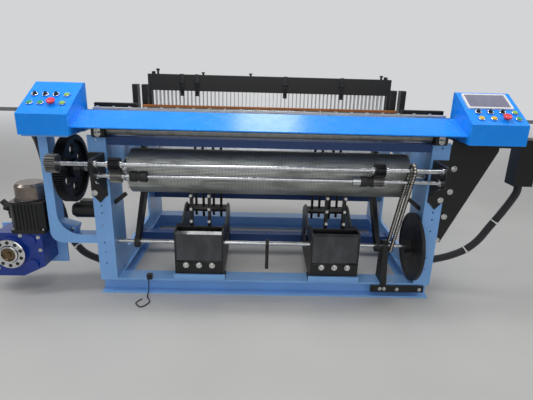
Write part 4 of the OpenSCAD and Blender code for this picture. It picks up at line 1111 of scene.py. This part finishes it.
class LOOM_OT_lead(Operator):
    """Lay the thin lead of the rail's switch on the floor"""

    bl_idname = "loom.lead"
    bl_label = "Lead"

    def execute(self, context):
        sizes = context.scene.loom_sizes
        box = bmesh.new()
        slab(box, at(-650, -14, 92), at(-620, 12, 122), 0.004)
        stud = [(0, 0), (0, 0.006), (0.01, 0.006), (0.011, 0.004), (0.011, 0)]
        turned(box, stud, at(-635, -13, 108), OUTWARD, 20)
        piece("rail_switch", box, "knob_black")
        path = smooth_route([at(*spot) for spot in LEAD_ROUTE], 8)
        wire = bmesh.new()
        tube(wire, path, sizes.lead / 2, 12)
        lead = piece("thin_lead", wire, "rubber", angle=SOFT_ANGLE)
        return {"FINISHED"}


CAMERA_AT = at(-53.4, -2105.5, 1237.6)
CAMERA_TURN = {"yaw": 1.14, "pitch": 17.94, "roll": 1.58}
FOCAL_PIXELS = 430
IMAGE_WIDTH = 533
SENSOR = 36.0
FLOOR_HALF, FLOOR_BACK, COVE, WALL_TOP = 14.0, 8.0, 1.5, 9.0
WALL_FADE = (1.5, FLOOR_BACK)


class LOOM_OT_stage(Operator):
    """Set the floor, the backdrop, the light and the camera"""

    bl_idname = "loom.stage"
    bl_label = "Stage"

    def execute(self, context):
        self.camera(context.scene)
        self.ground(context.scene)
        self.lamps(context.scene)
        self.sky(context.scene)
        context.scene.view_settings.view_transform = "Standard"
        return {"FINISHED"}

    def camera(self, scene):
        """Camera at the photograph's place, from its turn about the three axes."""
        yaw, pitch, roll = (math.radians(CAMERA_TURN[k]) for k in ("yaw", "pitch", "roll"))
        ahead = Vector((math.sin(yaw) * math.cos(pitch), math.cos(yaw) * math.cos(pitch), -math.sin(pitch)))
        right = Vector((math.cos(yaw), -math.sin(yaw), 0))
        above = right.cross(ahead)
        across = right * math.cos(roll) + above * math.sin(roll)
        above = above * math.cos(roll) - right * math.sin(roll)
        data = bpy.data.cameras.new("photograph_view")
        data.sensor_width = SENSOR
        data.lens = FOCAL_PIXELS * SENSOR / IMAGE_WIDTH
        data.clip_end = 60
        camera = bpy.data.objects.new("photograph_view", data)
        turn = Matrix((across, above, -ahead)).transposed().to_4x4()
        camera.matrix_world = Matrix.Translation(CAMERA_AT) @ turn
        scene.collection.objects.link(camera)
        scene.camera = camera

    def ground(self, scene):
        """Plain pale floor with a soft cove behind the loom."""
        bm = bmesh.new()
        turns = [math.pi / 2 * k / 12 for k in range(13)]
        bend = [(FLOOR_BACK + COVE * math.sin(a), COVE - COVE * math.cos(a)) for a in turns]
        line = [(-FLOOR_HALF, 0.0), *bend, (FLOOR_BACK + COVE, WALL_TOP)]
        edge = [[bm.verts.new((side * FLOOR_HALF, y, z)) for y, z in line] for side in (-1, 1)]
        for k in range(len(line) - 1):
            bm.faces.new((edge[0][k], edge[1][k], edge[1][k + 1], edge[0][k + 1]))
        mesh = bpy.data.meshes.new("pale_floor")
        bm.to_mesh(mesh)
        bm.free()
        mesh.polygons.foreach_set("use_smooth", [True] * len(mesh.polygons))
        material, tree, shader, spot = start("sealed_concrete")
        tone = between(tree, grain(tree, spot, 0.8, detail=6), 0.3, 0.7)
        colour = scene.loom_colours.floor
        base = toned(tree, tone, colour, 0.95, 1.04)
        feed(tree, shader, Base_Color=base, Roughness=0.42, IOR=1.45)
        self.pale_wall(tree, shader, spot, scene.loom_colours.wall)
        mesh.materials.append(material)
        floor = bpy.data.objects.new("pale_floor", mesh)
        scene.collection.objects.link(floor)

    def pale_wall(self, tree, shader, spot, colour):
        """Shows the cove as a pale wall to the camera, to metal and to glass."""
        rays = add_node(tree, "ShaderNodeLightPath").outputs
        seen = rays["Is Camera Ray"]
        for ray in ("Is Glossy Ray", "Is Transmission Ray"):
            seen = maths(tree, "MAXIMUM", seen, rays[ray])
        back = add_node(tree, "ShaderNodeSeparateXYZ", {0: spot}).outputs["Y"]
        share = maths(tree, "MULTIPLY", seen, between(tree, back, *WALL_FADE))
        glow = add_node(tree, "ShaderNodeEmission", {"Color": rgba(colour), "Strength": 1.0})
        ends = {0: share, 1: shader.outputs[0], 2: glow.outputs[0]}
        mixed = add_node(tree, "ShaderNodeMixShader", ends)
        tree.links.new(mixed.outputs[0], tree.nodes["Material Output"].inputs["Surface"])

    def lamps(self, scene):
        """Ceiling strips round the loom, one of them glaring on the cover, and a soft front fill."""
        places = (
            ("strip_over_breast", (-0.25, -0.9, 3.6), (0, -0.2, 0.9), (0.5, 3.2), 46),
            ("strip_left", (-2.6, -0.6, 3.4), (-0.4, 0, 0.6), (0.5, 3.2), 42),
            ("strip_right", (2.6, -0.6, 3.4), (0.4, 0, 0.6), (0.5, 3.2), 42),
            ("front_fill", (0.0, -4.6, 2.2), (0, 0, 0.5), (4.5, 2.4), 48),
            ("strip_behind", (0.05, 2.1, 3.6), (0, 0.1, 0.8), (0.8, 1.5), 15),
        )
        for name, spot, aim, (wide, deep), power in places:
            data = bpy.data.lights.new(name, "AREA")
            data.shape = "RECTANGLE"
            data.size, data.size_y = wide, deep
            data.energy = power
            lamp = bpy.data.objects.new(name, data)
            turn = (Vector(aim) - Vector(spot)).to_track_quat("-Z", "Y").to_matrix().to_4x4()
            lamp.matrix_world = Matrix.Translation(spot) @ turn
            scene.collection.objects.link(lamp)

    def sky(self, scene):
        """Even pale surroundings."""
        world = bpy.data.worlds.new("pale_hall")
        world.use_nodes = True
        tree = world.node_tree
        tree.nodes.clear()
        glow = add_node(tree, "ShaderNodeBackground", {"Color": rgba("#e6e8ea"), "Strength": 0.36})
        add_node(tree, "ShaderNodeOutputWorld", {"Surface": glow.outputs[0]})
        scene.world = world


OPERATORS = (
    LOOM_OT_finishes,
    LOOM_OT_stage,
    LOOM_OT_cover,
    LOOM_OT_conduits,
    LOOM_OT_bolts,
    LOOM_OT_panels,
    LOOM_OT_drive,
    LOOM_OT_lifts,
    LOOM_OT_healds,
    LOOM_OT_web,
    LOOM_OT_shafts,
    LOOM_OT_struts,
    LOOM_OT_lead,
)


class LOOM_PT_sidebar(Panel):
    """Sizes, colours and steps of the loom"""

    bl_idname = "LOOM_PT_sidebar"
    bl_label = "Wire mesh loom"
    bl_space_type = "VIEW_3D"
    bl_region_type = "UI"
    bl_category = "Loom"

    def draw(self, context):
        for group in (context.scene.loom_sizes, context.scene.loom_colours):
            box = self.layout.box()
            for key in group.__annotations__:
                box.prop(group, key)
        for operator in OPERATORS:
            self.layout.operator(operator.bl_idname)


CLASSES = (LoomColours, LoomSizes, *OPERATORS, LOOM_PT_sidebar)


def register():
    """Registers the classes and the two property groups."""
    for cls in CLASSES:
        bpy.utils.register_class(cls)
    bpy.types.Scene.loom_colours = PointerProperty(type=LoomColours)
    bpy.types.Scene.loom_sizes = PointerProperty(type=LoomSizes)


def unregister():
    """Removes what register added."""
    del bpy.types.Scene.loom_sizes
    del bpy.types.Scene.loom_colours
    for cls in reversed(CLASSES):
        bpy.utils.unregister_class(cls)


def main():
    """Builds the scene."""
    register()
    for operator in OPERATORS:
        group, step = operator.bl_idname.split(".")
        getattr(getattr(bpy.ops, group), step)()


if __name__ == "__main__":
    main()
